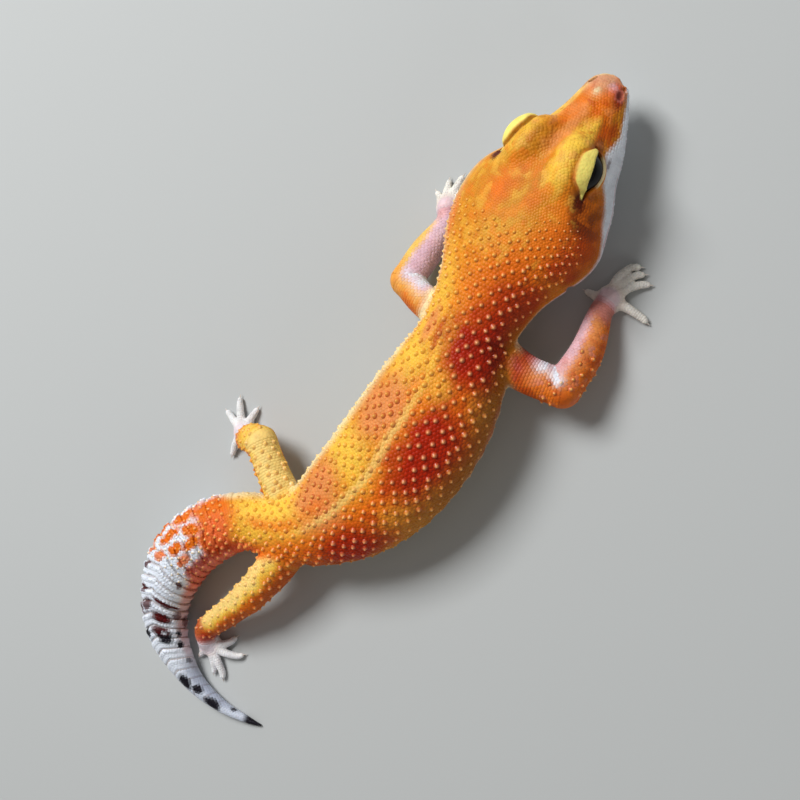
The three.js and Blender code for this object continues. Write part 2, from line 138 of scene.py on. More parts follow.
def on_back(points):
    """Where points are on the body: the place t along the stations, the offsets
    to the right and up, the sizes there, and how far they are past the snout."""
    i = nearest(points, BACK_AT)
    s = i - ((points - BACK_AT[i]) * AHEAD[i]).sum(1) / BACK_STEP[i]
    past = np.maximum(-s, 0) * BACK_STEP[0]
    past = np.maximum(past, (s - len(BACK_AT) + 1) * BACK_STEP[-1])
    s = np.clip(s, 0, len(BACK_AT) - 1.001)
    low = s.astype(int)
    w = (s - low)[:, None]

    def mix(table):
        return table[low] * (1 - w) + table[low + 1] * w

    q = points - mix(BACK_AT)
    return s / PER_STATION, (q * mix(RIGHT)).sum(1), (q * mix(UP)).sum(1), mix(BACK_SIZE), past


def blend(a, b, reach):
    """The union of two depths with a fillet of the given reach."""
    h = np.clip(0.5 + 0.5 * (b - a) / reach, 0, 1)
    return b * (1 - h) + a * h - reach * h * (1 - h)


def turned(angle, axis):
    c, s = math.cos(angle), math.sin(angle)
    return np.array({"z": [[c, -s, 0], [s, c, 0], [0, 0, 1]],
                     "y": [[c, 0, s], [0, 1, 0], [-s, 0, c]]}[axis])


# The head's own frame: x to its right, y forward, z up from mouth level.
HEAD_AXES = turned(HEAD_YAW, "z") @ turned(-HEAD_ROLL, "y")
HEAD_AT = HEAD_CENTRE - MIDDLE


def in_head(points):
    return (points - HEAD_AT) @ HEAD_AXES


# Soft forms on the head, each mirrored: centre, reach and height (in or out).
HEAD_FORMS = {
    "dip between the eyes": ((0.0, 1.5, 9.0), (2.0, 5.0, 2.5), -0.55),
    "bridge of the snout": ((0.0, 8.5, 5.6), (1.5, 5.0, 1.5), 0.25),
    "hollow before the eye": ((5.2, 6.8, 4.0), (1.6, 3.2, 1.6), -0.55),
    "ridge from eye to nostril": ((3.3, 8.0, 5.3), (0.9, 3.8, 1.0), 0.4),
    "groove inside the brow": ((2.6, -0.5, 9.3), (0.75, 2.8, 1.4), -0.35),
    "swelling round the nostril": ((2.7, 12.3, 2.3), (1.2, 1.2, 1.1), 0.35),
    "jaw muscle": ((8.5, -8.0, 6.5), (3.5, 5.0, 3.5), 0.35),
    "parting of the jaw muscles": ((0.0, -9.0, 9.9), (2.0, 6.5, 2.5), -0.3),
    "hollow under the eye": ((8.4, 0.5, 1.6), (2.0, 3.6, 1.1), -0.3),
    "cheek behind the mouth": ((11.5, -11.0, 0.5), (3.0, 3.5, 2.5), 0.25),
}
MOUTH = {"front": 16.0, "corner": -9.0, "level": 0.1, "sag": 0.5}

EYE = {"out": 5.0, "forward": -0.7, "up": 5.6, "radius": 3.9, "yaw": math.radians(16)}
BROW = {"inward": 0.9, "back": 0.3, "up": 0.2, "size": (4.0, 6.0, 4.45)}
# The lids meet on a line fore and aft, so far out and up from the eye's centre,
# and each spans so many degrees round that line.
LID = {"hinge": (1.5, 0.2), "upper": (52, 90), "lower": (4, -16),
       "over": 0.85, "under": 0.45, "crease": 0.32}


def in_eye(points, side):
    centre = HEAD_AT + HEAD_AXES @ np.array([side * EYE["out"], EYE["forward"], EYE["up"]])
    local = (points - centre) @ (HEAD_AXES @ turned(side * EYE["yaw"], "z"))
    return local * [side, 1, 1]


def round_lids(q):
    """The angle round the line where the lids meet, in degrees, and the distance from it."""
    x, z = q[:, 0] - LID["hinge"][0], q[:, 2] - LID["hinge"][1]
    return np.degrees(np.arctan2(z, x)), np.hypot(x, z)


def lid_edges(q):
    """The angles of the upper lid's edge and crease, and of the lower lid's
    edge. All three run together at the corners."""
    closing = ease(1.8, 4.8, np.abs(q[:, 1]))
    return (LID["upper"][0] - 18 * closing, LID["upper"][1] - 30 * closing,
            LID["lower"][0] + 20 * closing)


def with_eye(depth, points, side):
    """Adds the brow and the lids round one eye, and opens them."""
    q = in_eye(points, side)
    far = np.linalg.norm(q, axis=1)
    near = far < 11
    q, far, d = q[near], far[near], depth[near]
    brow = (q - [-BROW["inward"], -BROW["back"], BROW["up"]]) / BROW["size"]
    brow_far = np.linalg.norm(brow, axis=1)
    d = blend(d, (brow_far - 1) * min(BROW["size"]), 0.9)
    angle, reach = round_lids(q)
    top, high, bottom = lid_edges(q)
    upper = ease(-10, 0, angle - top) * ease(high + 5, high, angle)
    lower = ease(10, 0, angle - bottom) * ease(LID["lower"][1] - 10, LID["lower"][1], angle)
    taper = ease(4.7, 2.8, np.abs(q[:, 1]))
    shell = EYE["radius"] + 0.25 + (LID["over"] - 0.25) * upper * taper + (LID["under"] - 0.25) * lower
    d = blend(d, far - shell, 0.35)
    # The crease over the upper lid runs with the lid and fades at its corners.
    off = np.radians(angle - high - 6) * reach
    outer = ease(0.0, 1.2, q[:, 0] + 1.5) * ease(5.2, 3.6, abs(q[:, 1])) * (q[:, 2] > 0)
    d = d + LID["crease"] * np.exp(-(off / 0.4) ** 2) * outer
    under = np.radians(angle - LID["lower"][1] + 4) * reach
    d = d + 0.25 * np.exp(-(under / 0.35) ** 2) * ease(4.6, 3.4, abs(q[:, 1])) * (q[:, 0] > 0)
    gap = np.radians(np.minimum(top - angle, angle - bottom)) * reach
    gap = np.minimum(gap, EYE["radius"] + 1.6 - far)
    depth[near] = -blend(-d, -gap, 0.12)
    return depth


NOSTRIL = {"at": (2.9, 12.5, 2.75), "size": (0.75, 0.85, 0.7)}
EAR = {"at": (11.5, -17.0, -0.3), "size": (1.3, 0.7, 1.4)}


def hollow(depth, q, at, size):
    """Cuts a rounded hollow."""
    far = (np.linalg.norm((q - at) / size, axis=1) - 1) * min(size)
    return -blend(-depth, far, 0.2)


# Each leg is a path of joints with a thickness at each. The third is its elbow
# or knee and the fifth its wrist or ankle.
LEGS = {
    "right_arm": ((10.0, 18.8, 8.6, 4.0), (18.0, 18.6, 7.8, 3.4), (24.9, 20.0, 6.4, 3.3),
                  (24.4, 26.8, 4.8, 3.0), (22.1, 33.2, 2.8, 2.2), (21.7, 36.0, 1.9, 1.9)),
    "left_arm": ((3.6, 18.8, 8.4, 3.6), (-3.4, 18.4, 7.4, 3.0), (-8.9, 19.2, 6.0, 2.9),
                 (-9.2, 24.8, 4.6, 3.0), (-9.6, 30.6, 2.8, 2.2), (-11.3, 33.2, 1.9, 1.9)),
    "right_leg": ((0.5, -29.0, 8.4, 4.2), (0.3, -37.5, 8.0, 3.7), (-1.2, -45.5, 7.2, 3.1),
                  (-3.8, -52.2, 5.4, 2.7), (-6.3, -58.2, 3.3, 2.3), (-5.6, -60.8, 2.0, 1.9)),
    "left_leg": ((-1.2, -27.4, 8.4, 3.8), (-9.0, -23.6, 8.2, 3.2), (-15.4, -20.3, 7.6, 3.0),
                 (-18.4, -21.8, 5.2, 2.9), (-20.2, -23.6, 3.0, 2.3), (-22.0, -23.4, 1.9, 1.9)),
}
BEND = 2
# Each foot: its middle, and its toes' aim in degrees from +X toward +Y, their
# reach, and how far each bows to the side.
FEET = {
    "right_arm": ((21.7, 36.0),
                  ((196, 5.4, 6), (84, 8.0, 22), (72, 7.6, 14), (55, 7.6, 10), (2, 8.0, 4))),
    "left_arm": ((-11.5, 33.2),
                 ((165, 4.8, 4), (128, 5.8, 6), (102, 6.8, 4), (78, 6.6, 0), (40, 5.6, -6))),
    "right_leg": ((-5.0, -61.2),
                  ((262, 4.6, 0), (312, 6.6, 8), (328, 8.0, 6), (20, 8.2, -10), (48, 6.6, -14))),
    "left_leg": ((-22.2, -23.5),
                 ((46, 5.4, 0), (98, 6.0, 4), (138, 7.6, 4), (172, 6.8, 0), (268, 6.2, -8))),
}
FOOT_SIZE = (2.4, 2.4, 1.45)
TOE = {"root": 0.9, "pad": 0.62, "arch": 0.5, "claw": 1.3}
LIMB_INSET = 0.2


def limb_chain(joints, spacing=0.3):
    """A path through joints as close points with a thickness each."""
    joints = np.array(joints)
    dense = smooth_rows(joints, np.linspace(0, len(joints) - 1, 400))
    along = np.concatenate([[0], np.cumsum(np.linalg.norm(np.diff(dense[:, :3], axis=0), axis=1))])
    wanted = np.linspace(0, along[-1], max(4, int(along[-1] / spacing)))
    chain = np.stack([np.interp(wanted, along, dense[:, k]) for k in range(4)], 1)
    chain[:, :3] -= MIDDLE
    return chain


LIMBS = {name: (limb_chain(joints[:BEND + 1]), limb_chain(joints[BEND:]))
         for name, joints in LEGS.items()}


def toe_joints(foot, aim, reach, bow):
    (x, y), _ = FEET[foot]
    rows = []
    for turn, far, z, r in ((bow, 0.8, 1.0, TOE["root"]),
                            (bow, reach * 0.42, 0.7 + TOE["arch"], TOE["root"] * 0.85),
                            (bow * 0.4, reach - TOE["claw"] * 1.6, 0.75, TOE["pad"]),
                            (0, reach - TOE["claw"] * 0.9, 0.66, 0.5)):
        angle = math.radians(aim + turn)
        rows.append((x + far * math.cos(angle), y + far * math.sin(angle), z, r))
    return rows


TOES = {foot: [limb_chain(toe_joints(foot, *toe), 0.2) for toe in toes]
        for foot, (_, toes) in FEET.items()}


def round_chain(points, chain, inset):
    """The depth round a chain of thick points, worked out only near it."""
    out = np.full(len(points), 9.0)
    margin = chain[:, 3].max() + 2.5
    low, high = chain[:, :3].min(0) - margin, chain[:, :3].max(0) + margin
    near = np.flatnonzero(((points > low) & (points < high)).all(1))
    for i in range(0, len(near), 65536):
        part = near[i:i + 65536]
        p = points[part].astype(np.float32)
        far = np.sqrt(np.maximum(
            (p ** 2).sum(1)[:, None] - 2 * p @ chain[:, :3].T.astype(np.float32)
            + (chain[:, :3] ** 2).sum(1).astype(np.float32), 0))
        out[part] = (far - (chain[:, 3] - inset).astype(np.float32)).min(1)
    return out


RING = 2.5  # from one fold of the tail to the next
RING_START = 126.5
RING_SLANT = 0.0065


def ring_place(along, about, half_width):
    """Where along the tail the middle of a fold is that passes through here: the
    folds slope back a little to either side."""
    return along - RING_SLANT * half_width * np.abs(about)


def flesh(points):
    """How far points are outside the skin, or inside it where negative."""
    t, x, z, size, past = on_back(points)
    inset = 0.15 + 0.2 * ease(AT["eye_back"], AT["ears"], t) * ease(AT["tail_bend"], AT["vent"], t)
    a = size[:, 0] - inset
    b = np.where(z > 0, size[:, 1], size[:, 2]) - inset
    k = np.sqrt((x / a) ** 2 + (z / b) ** 2) + 1e-6
    depth = k * (k - 1) / np.sqrt(x ** 2 / a ** 4 + z ** 2 / b ** 4 + 1e-9)
    depth = np.clip(depth, -8, 8)
    depth = np.where(past > 0, np.hypot(np.maximum(depth, 0), past), depth)
    # Rings of the tail, deepest over its middle.
    along = np.interp(t, BACK_T, BACK_LENGTH)
    ringed = ease(AT["vent"] + 0.8, AT["tail_swell"] + 0.3, t)
    ringed = ringed * ease(AT["tail_whip"], AT["tail_narrow"], t)
    about = np.degrees(np.arctan2(x / a, z / b))
    turn = 2 * np.pi * (ring_place(along, about, size[:, 0]) - RING_START) / RING
    fold = ease(0.5, 1.0, np.cos(turn)) - 0.5 * ease(-0.4, 1.0, np.sin(turn))
    depth = depth + 0.42 * ringed * fold
    # Loose skin: shallow folds down the flanks, and a crease before the shoulder.
    flank = ease(48, 75, np.abs(about)) * ease(130, 105, np.abs(about))
    flank = flank * ease(48, 56, along) * ease(104, 96, along)
    depth = depth + 0.09 * flank * np.sin(2 * np.pi * (along + 0.9 * np.sin(about / 9) + 0.4 * z) / 3.3)
    crease = ease(38, 58, np.abs(about)) * ease(112, 95, np.abs(about))
    depth = depth + 0.28 * crease * np.exp(-((along - 47.2 + 0.02 * (np.abs(about) - 60)) / 0.45) ** 2)
    # The head's soft forms, mouth and eyes.
    q = in_head(points)
    mirrored = np.abs(q) * [1, 0, 0] + q * [0, 1, 1]
    on_head = t < AT["neck"]
    h, m = depth[on_head], mirrored[on_head]
    for at, reach, height in HEAD_FORMS.values():
        h = h - height * np.exp(-(((m - at) / reach) ** 2).sum(1))
    u = np.clip((m[:, 1] - MOUTH["corner"]) / (MOUTH["front"] - MOUTH["corner"]), 0, 1)
    level = MOUTH["level"] - MOUTH["sag"] * np.sin(np.pi * u)
    line = ease(MOUTH["corner"] - 1.0, MOUTH["corner"] + 1.0, m[:, 1])
    h = h + 0.38 * line * np.exp(-((m[:, 2] - level) / 0.24) ** 2)
    h = h - 0.12 * line * np.exp(-((m[:, 2] - level - 0.9) / 0.55) ** 2)
    depth[on_head] = h
    for side in (1, -1):
        depth = with_eye(depth, points, side)
    head = np.flatnonzero(on_head)
    depth[head] = hollow(depth[head], m, NOSTRIL["at"], NOSTRIL["size"])
    depth[head] = hollow(depth[head], m, EAR["at"], EAR["size"])
    # Legs, then feet and toes.
    for name, (upper, lower) in LIMBS.items():
        leg = blend(round_chain(points, upper, LIMB_INSET), round_chain(points, lower, LIMB_INSET), 0.6)
        (cx, cy), _ = FEET[name]
        sole = points - (np.array([cx, cy, FOOT_SIZE[2] - 0.3]) - MIDDLE)
        foot = (np.linalg.norm(sole / FOOT_SIZE, axis=1) - 1) * min(FOOT_SIZE)
        for toe in TOES[name]:
            foot = blend(foot, round_chain(points, toe, 0.0), 0.45)
        depth = blend(depth, blend(leg, foot, 0.8), 1.1)
    return np.maximum(depth, -points[:, 2])


VOXEL = 0.2
SKIN_TRIANGLES = 195000


def skin_net(voxel, coarse=4, blocks=2):
    """Meshes the skin: the depth is worked out on a grid, but only in blocks
    near the surface, and the surface is drawn through the cells it crosses."""
    low = np.array([-31.0, -70.5, -2.0])
    high = np.array([31.5, 70.5, 20.0])
    big = voxel * coarse * blocks
    shape = np.ceil((high - low) / big).astype(int)
    cells = np.stack(np.meshgrid(*[np.arange(n) for n in shape], indexing="ij"), -1).reshape(-1, 3)
    field = np.ones(shape * coarse * blocks, np.float32)
    d = flesh(low + (cells + 0.5) * big)
    inner = cells[d < -big]
    for start in inner * coarse * blocks:
        i, j, k = start
        n = coarse * blocks
        field[i:i + n, j:j + n, k:k + n] = -1
    cells = cells[np.abs(d) < big * 0.87 + 1.0]
    sub = np.stack(np.meshgrid(*[np.arange(blocks)] * 3, indexing="ij"), -1).reshape(-1, 3)
    cells = (cells[:, None] * blocks + sub).reshape(-1, 3)
    small = voxel * coarse
    d = flesh(low + (cells + 0.5) * small)
    fine = np.abs(d) < small * 0.87 + 0.35
    sub = np.stack(np.meshgrid(*[np.arange(coarse)] * 3, indexing="ij"), -1).reshape(-1, 3)
    for group, sign in ((cells[~fine & (d < 0)], -1), (cells[~fine & (d >= 0)], 1)):
        ids = (group[:, None] * coarse + sub).reshape(-1, 3)
        field[tuple(ids.T)] = sign
    ids = (cells[fine][:, None] * coarse + sub).reshape(-1, 3)
    field[tuple(ids.T)] = flesh(low + (ids + 0.5) * voxel)
    return surface_net(field, low + 0.5 * voxel, voxel)


def surface_net(field, origin, voxel):
    """One vertex in each cell that the surface crosses, at the mean of the
    crossings on its edges, and one quad round each crossed edge."""
    inside = field < 0
    corners = [(a, b, c) for a in (0, 1) for b in (0, 1) for c in (0, 1)]
    n = np.array(field.shape) - 1

    def view(array, c):
        return array[c[0]:c[0] + n[0], c[1]:c[1] + n[1], c[2]:c[2] + n[2]]

    total = sum(view(inside, c).astype(np.int8) for c in corners)
    cell = np.argwhere((total > 0) & (total < 8))
    index = np.full(n, -1, np.int32)
    index[tuple(cell.T)] = np.arange(len(cell))
    values = {c: field[tuple((cell + c).T)].astype(float) for c in corners}
    sums, count = np.zeros((len(cell), 3)), np.zeros(len(cell))
    for a in corners:
        for axis in range(3):
            if a[axis]:
                continue
            b = tuple(v + (i == axis) for i, v in enumerate(a))
            crossed = (values[a] < 0) != (values[b] < 0)
            share = values[a][crossed] / (values[a][crossed] - values[b][crossed])
            spot = np.repeat(np.array([a], float), crossed.sum(), 0)
            spot[:, axis] += share
            sums[crossed] += spot
            count[crossed] += 1
    vertices = origin + (cell + sums / count[:, None]) * voxel
    quads = []
    for axis in range(3):
        step = np.eye(3, dtype=int)[axis]
        first = inside[1:-1, 1:-1, 1:-1]
        second = inside[1 + step[0]:inside.shape[0] - 1 + step[0],
                        1 + step[1]:inside.shape[1] - 1 + step[1],
                        1 + step[2]:inside.shape[2] - 1 + step[2]]
        edge = np.argwhere(first != second) + 1
        out_of = first[tuple((edge - 1).T)]
        u, v = np.eye(3, dtype=int)[(axis + 1) % 3], np.eye(3, dtype=int)[(axis + 2) % 3]
        ring = [index[tuple((edge - off).T)] for off in (u * 0, u, u + v, v)]
        ring = np.stack(ring, 1)
        ring[~out_of] = ring[~out_of][:, ::-1]
        quads.append(ring)
    return vertices, np.concatenate(quads)


def mesh_piece(name, vertices, faces):
    """A smooth mesh object from millimetre vertices."""
    mesh = bpy.data.meshes.new(name)
    mesh.vertices.add(len(vertices))
    mesh.vertices.foreach_set("co", (np.asarray(vertices) * MM).ravel())
    faces = np.asarray(faces)
    mesh.loops.add(faces.size)
    mesh.loops.foreach_set("vertex_index", faces.ravel())
    mesh.polygons.add(len(faces))
    mesh.polygons.foreach_set("loop_start", np.arange(0, faces.size, faces.shape[1]))
    mesh.update(calc_edges=True)
    mesh.shade_smooth()
    piece = bpy.data.objects.new(name, mesh)
    bpy.context.collection.objects.link(piece)
    return piece


vertices, quads = skin_net(VOXEL)
skin = mesh_piece("skin", vertices, quads)
thin = skin.modifiers.new("thin", "DECIMATE")
thin.ratio = SKIN_TRIANGLES / (2 * len(quads))
thin.use_collapse_triangulate = True
skin_mesh = bpy.data.meshes.new_from_object(
    skin.evaluated_get(bpy.context.evaluated_depsgraph_get()))
skin.modifiers.clear()
skin.data = skin_mesh
skin_mesh.shade_smooth()


def read_mesh(mesh):
    at, facing = np.empty(len(mesh.vertices) * 3), np.empty(len(mesh.vertices) * 3)
    mesh.vertices.foreach_get("co", at)
    mesh.vertex_normals.foreach_get("vector", facing)
    return at.reshape(-1, 3) / MM, facing.reshape(-1, 3)


def mottle(points, size, seed):
    """Smooth random values from -1 to 1 that change over about the given size."""
    lattice = np.random.default_rng(seed).uniform(-1, 1, (32, 32, 32))
    p = points / size
    i = np.floor(p).astype(int)
    u = ease(0, 1, p - i)
    total = 0
    for corner in np.ndindex(2, 2, 2):
        share = np.prod(np.where(corner, u, 1 - u), axis=1)
        total = total + share * lattice[tuple(((i + corner) % 32).T)]
    return total


# The tones of the skin. They are laid on in strokes, each over the last. The rust brown is both a tone of the
# skin and painted shade, and some strokes are painted shade or highlight, as said where they are laid.
TONES = {
    "amber": "#DF8E1E", "yellow": "#F5C445", "orange": "#E87010", "red": "#B02200",
    "salmon": "#E48C4C", "rust_and_shade": "#5A1C04", "cream": "#F6E6B4", "white": "#EEF3FD",
    "pink": "#D2847C", "coral": "#F46A48", "maroon": "#50080A", "black": "#15121C", "lid": "#F8E478",
    "lilac": "#E4BCCB", "smoke_and_shade": "#8C6A4A", "slate": "#7F88A4",
}
# Marks on the body: a tone; its middle, in mm along the back from the snout and
# in degrees round from the midline, to the right positive; its half length and
# half span; how soft its edge is; and how strongly it is laid on.
BACK_MARKS = (
    ("orange", (40, 10), (7, 60), 0.6, 0.4),
    ("salmon", (38, -62), (8, 18), 0.6, 0.6),
    ("yellow", (46, -34), (9, 22), 0.5, 0.7),
    ("yellow", (75.5, -34), (5.0, 36), 0.5, 0.9),
    ("yellow", (56, -30), (4.5, 30), 0.5, 0.7),
    ("yellow", (76.5, 8), (4.0, 12), 0.6, 0.5),
    ("yellow", (98.5, 0), (8, 75), 0.45, 0.6),
    ("yellow", (97, -44), (9, 26), 0.45, 0.95),
    ("orange", (57, 32), (8, 30), 0.6, 0.9),
    ("orange", (78, 36), (8, 26), 0.6, 0.9),
    ("orange", (38, 34), (10, 32), 0.6, 0.9),
    ("orange", (66, 28), (11, 36), 0.5, 0.9),
    ("orange", (88, 44), (12, 36), 0.5, 0.95),
    ("orange", (62, -10), (6, 9), 0.7, 0.5),
    ("yellow", (76, 56), (6.5, 20), 0.7, 0.45),
    ("yellow", (56.5, 60), (3.4, 16), 0.7, 0.4),
    ("yellow", (56.5, 14), (2.6, 12), 0.7, 0.5),
    # The broad weak red down the right flank is partly its red skin, partly painted shade.
    ("red", (66, 62), (24, 20), 0.6, 0.3),
    ("pink", (61, 98), (9, 12), 0.6, 0.5),
    ("red", (41, 56), (8, 34), 0.6, 0.85),
    ("red", (49, 40), (5.8, 40), 0.45, 1.0),
    ("red", (66.5, 29), (8.0, 27), 0.45, 1.0),
    ("orange", (97, 62), (10, 32), 0.6, 0.85),
    ("red", (86.3, 54), (6.0, 30), 0.5, 0.95),
    ("red", (97, 76), (6.0, 18), 0.7, 0.5),
    ("maroon", (49.6, 46), (2.6, 22), 0.8, 0.2),
    ("red", (48.5, -6), (2.6, 9), 0.5, 0.7),
    ("salmon", (64.8, -30), (6.6, 24), 0.6, 0.95),
    ("salmon", (86.5, -26), (6.2, 29), 0.6, 0.95),
    ("orange", (88, -10), (3.0, 7), 0.7, 0.6),
    ("salmon", (87.5, 8), (4.6, 11), 0.6, 0.6),
    ("salmon", (48, -26), (3.4, 9), 0.5, 0.9),
    ("orange", (101, -14), (2.8, 13), 0.6, 0.8),
    ("orange", (95.5, -6), (3.0, 10), 0.6, 0.7),
    ("orange", (103, 58), (9, 24), 0.6, 0.9),
)
TAIL_SPOTS = (
    ("orange", (110.8, -30), (4.0, 42), 0.35, 1.0),
    ("orange", (111.8, 22), (3.8, 40), 0.35, 1.0),
    ("coral", (111.0, 24), (3.6, 40), 0.6, 0.5),
    ("red", (110.8, 50), (5.4, 16), 0.5, 0.6),
    ("orange", (116.2, -10), (2.0, 12), 0.3, 1.0),
    ("orange", (116.6, -44), (2.2, 14), 0.3, 1.0),
    ("orange", (117.6, 12), (2.0, 10), 0.3, 1.0),
    ("red", (116.8, 50), (2.2, 10), 0.3, 0.7),
    ("orange", (120.3, -26), (2.4, 11), 0.3, 1.0),
    ("orange", (121.3, 2), (1.7, 10), 0.3, 1.0),
    ("orange", (120.6, 28), (1.7, 9), 0.3, 0.9),
    ("orange", (121.5, -60), (2.6, 14), 0.3, 1.0),
    ("red", (121.0, 50), (2.0, 9), 0.4, 0.7),
    ("orange", (124.6, -14), (1.1, 10), 0.3, 0.9),
    ("orange", (124.2, -44), (1.0, 9), 0.3, 0.9),
    ("maroon", (127.0, -36), (0.7, 9), 0.3, 0.9),
    ("maroon", (126.4, 49), (0.8, 7), 0.3, 0.9),
    ("maroon", (131.4, -34), (0.8, 17), 0.35, 1.0),
    ("maroon", (134.6, -16), (1.3, 15), 0.35, 0.9),
    ("maroon", (134.8, -44), (1.5, 10), 0.35, 1.0),
    ("maroon", (132.9, 40), (0.7, 34), 0.35, 1.0),
    ("maroon", (136.8, 22), (1.3, 25), 0.35, 1.0),
    ("maroon", (135.6, 66), (1.4, 14), 0.35, 0.8),
    ("black", (139.9, -34), (1.0, 14), 0.3, 1.0),
    ("black", (141.0, 22), (1.8, 22), 0.35, 1.0),
    ("maroon", (140.0, 18), (0.9, 26), 0.4, 0.9),
    ("white", (140.4, 26), (0.5, 7), 0.35, 0.8),
    ("black", (140.4, 66), (1.0, 9), 0.35, 1.0),
    ("black", (143.4, 62), (0.9, 12), 0.35, 1.0),
    ("maroon", (137.2, 98), (1.6, 18), 0.35, 0.8),
    ("black", (147.4, 70), (0.6, 14), 0.4, 0.7),
    ("black", (146.0, -62), (1.0, 14), 0.4, 0.9),
    ("black", (151.6, -12), (1.7, 36), 0.3, 1.0),
    ("black", (150.2, -66), (0.9, 20), 0.4, 0.9),
    ("black", (154.3, 16), (1.2, 32), 0.3, 1.0),
    ("black", (158.3, -6), (1.8, 52), 0.3, 1.0),
    ("black", (162.2, 66), (0.7, 34), 0.4, 0.9),
)
HEAD_MARKS = (
    ("coral", (0.5, 10), (2.6, 90), 0.6, 0.45),
    ("red", (2.2, 36), (2.0, 18), 0.6, 0.5),
    ("cream", (0.8, -6), (2.8, 70), 0.6, 0.35),
    ("pink", (2.0, 20), (2.4, 70), 0.6, 0.3),
    ("coral", (2.4, 44), (2.2, 16), 0.6, 0.6),
    ("rust_and_shade", (7.5, 5), (4.5, 40), 0.8, 0.2),
    ("rust_and_shade", (22.0, -2), (8.0, 26), 0.8, 0.16),
    ("cream", (3.4, 2), (0.6, 9), 0.6, 0.85),
    ("red", (3.0, 54), (2.0, 12), 0.6, 0.8),
    ("lilac", (1.7, 32), (0.7, 12), 0.7, 0.5),
    ("smoke_and_shade", (4.6, 30), (1.0, 12), 0.7, 0.45),
    ("cream", (2.5, -62), (4, 22), 0.6, 0.8),
    ("orange", (7.2, -14), (3.6, 17), 0.6, 0.8),
    ("orange", (5.4, 28), (2.6, 22), 0.6, 0.9),
    # The dark spot at the right nostril is painted shade in its hollow.
    ("rust_and_shade", (3.4, 50), (1.4, 10), 0.6, 0.5),
    ("rust_and_shade", (8.4, 58), (2.4, 9), 0.6, 0.6),
    ("salmon", (11.0, 0), (5.0, 8), 0.6, 0.6),
    ("yellow", (14.5, 20), (5.8, 11), 0.5, 0.95),
    ("yellow", (9.6, 30), (2.6, 7), 0.6, 0.8),
    ("yellow", (7.5, -54), (6.5, 18), 0.6, 0.8),
    ("yellow", (15.0, -33), (4.8, 15), 0.5, 0.85),
    # The dark spot inside the left brow is painted shade in the crease there.
    ("rust_and_shade", (14.5, -16), (3.2, 2.8), 0.7, 0.3),
    ("orange", (9.0, 44), (2.6, 9), 0.6, 0.9),
    ("rust_and_shade", (10.8, 46), (1.5, 7), 0.6, 0.7),
    ("orange", (25.0, -13), (3.4, 11), 0.7, 0.85),
    ("orange", (23.5, 13), (2.2, 6), 0.7, 0.6),
    ("orange", (20.0, -10), (2.2, 10), 0.7, 0.5),
    ("yellow", (30.0, 2), (5.0, 14), 0.7, 0.3),
    ("orange", (27.0, 46), (9.0, 18), 0.6, 0.9),
    ("red", (28.0, 66), (10.0, 20), 0.6, 0.75),
    ("rust_and_shade", (21.0, 52), (2.6, 12), 0.6, 0.8),
    ("rust_and_shade", (20.5, 68), (2.4, 8), 0.6, 0.5),
    ("salmon", (33.0, -56), (5.0, 12), 0.6, 0.6),
)
LIP_LINE = ((0, 84), (2, 78), (5, 78), (8, 76), (10, 67), (11.5, 59), (14, 66), (18, 73), (21, 80),
            (24, 87), (34, 94))
STRIPE_PATH = ((44, -3), (55, -2), (62, -4), (68, -4), (75, 1), (84, 4), (95, 7))
# For each leg: the way that its inner side faces, the tones of its top and of
# its outer edge, and the tone round its wrist or ankle.
LEG_TONES = {
    "right_arm": ((-0.8, 0.4, 0.1), "salmon", "orange", "pink", "lilac"),
    "left_arm": ((0.9, 0.3, 0.2), "lilac", "yellow", "lilac", "lilac"),
    "right_leg": ((-0.8, 0.4, 0.45), "yellow", "orange", "red", "pink"),
    "left_leg": ((0.4, 0.3, 0.8), "yellow", "orange", "orange", "pink"),
}


class Strokes:
    """The shares of the tones at a set of points on the skin."""

    def __init__(self, points, facing):
        self.points, self.facing = points, facing
        self.t, x, z, size, _ = on_back(points)
        reach = np.where(z > 0, size[:, 1], size[:, 2])
        self.along = np.interp(self.t, BACK_T, BACK_LENGTH)
        self.about = np.degrees(np.arctan2(x / size[:, 0], z / reach))
        self.clear = (np.hypot(x / size[:, 0], z / reach) - 1) * np.minimum(size[:, 0], reach)
        self.ringed = ring_place(self.along, self.about, size[:, 0])
        self.slow, self.fast = mottle(points, 2.4, 1), mottle(points, 1.0, 2)
        self.shares = {tone: np.zeros(len(points)) for tone in TONES}
        self.shares["amber"][:] = 1

    def lay(self, tone, cover):
        cover = np.clip(cover, 0, 1)
        for share in self.shares.values():
            share *= 1 - cover
        self.shares[tone] += cover

    def mark(self, tone, middle, reach, soft, strength, place=None, within=1.0):
        place = self.along if place is None else place
        far = np.hypot((place - middle[0]) / reach[0], (self.about - middle[1]) / reach[1])
        rough = 0.2 * self.slow + 0.12 * self.fast
        self.lay(tone, strength * within * ease(1 + soft, 1 - soft, far + rough))

    def between(self, low, high, soft=3.0, value=None):
        value = self.along if value is None else value
        return ease(low - soft, low + soft, value) * ease(high + soft, high - soft, value)


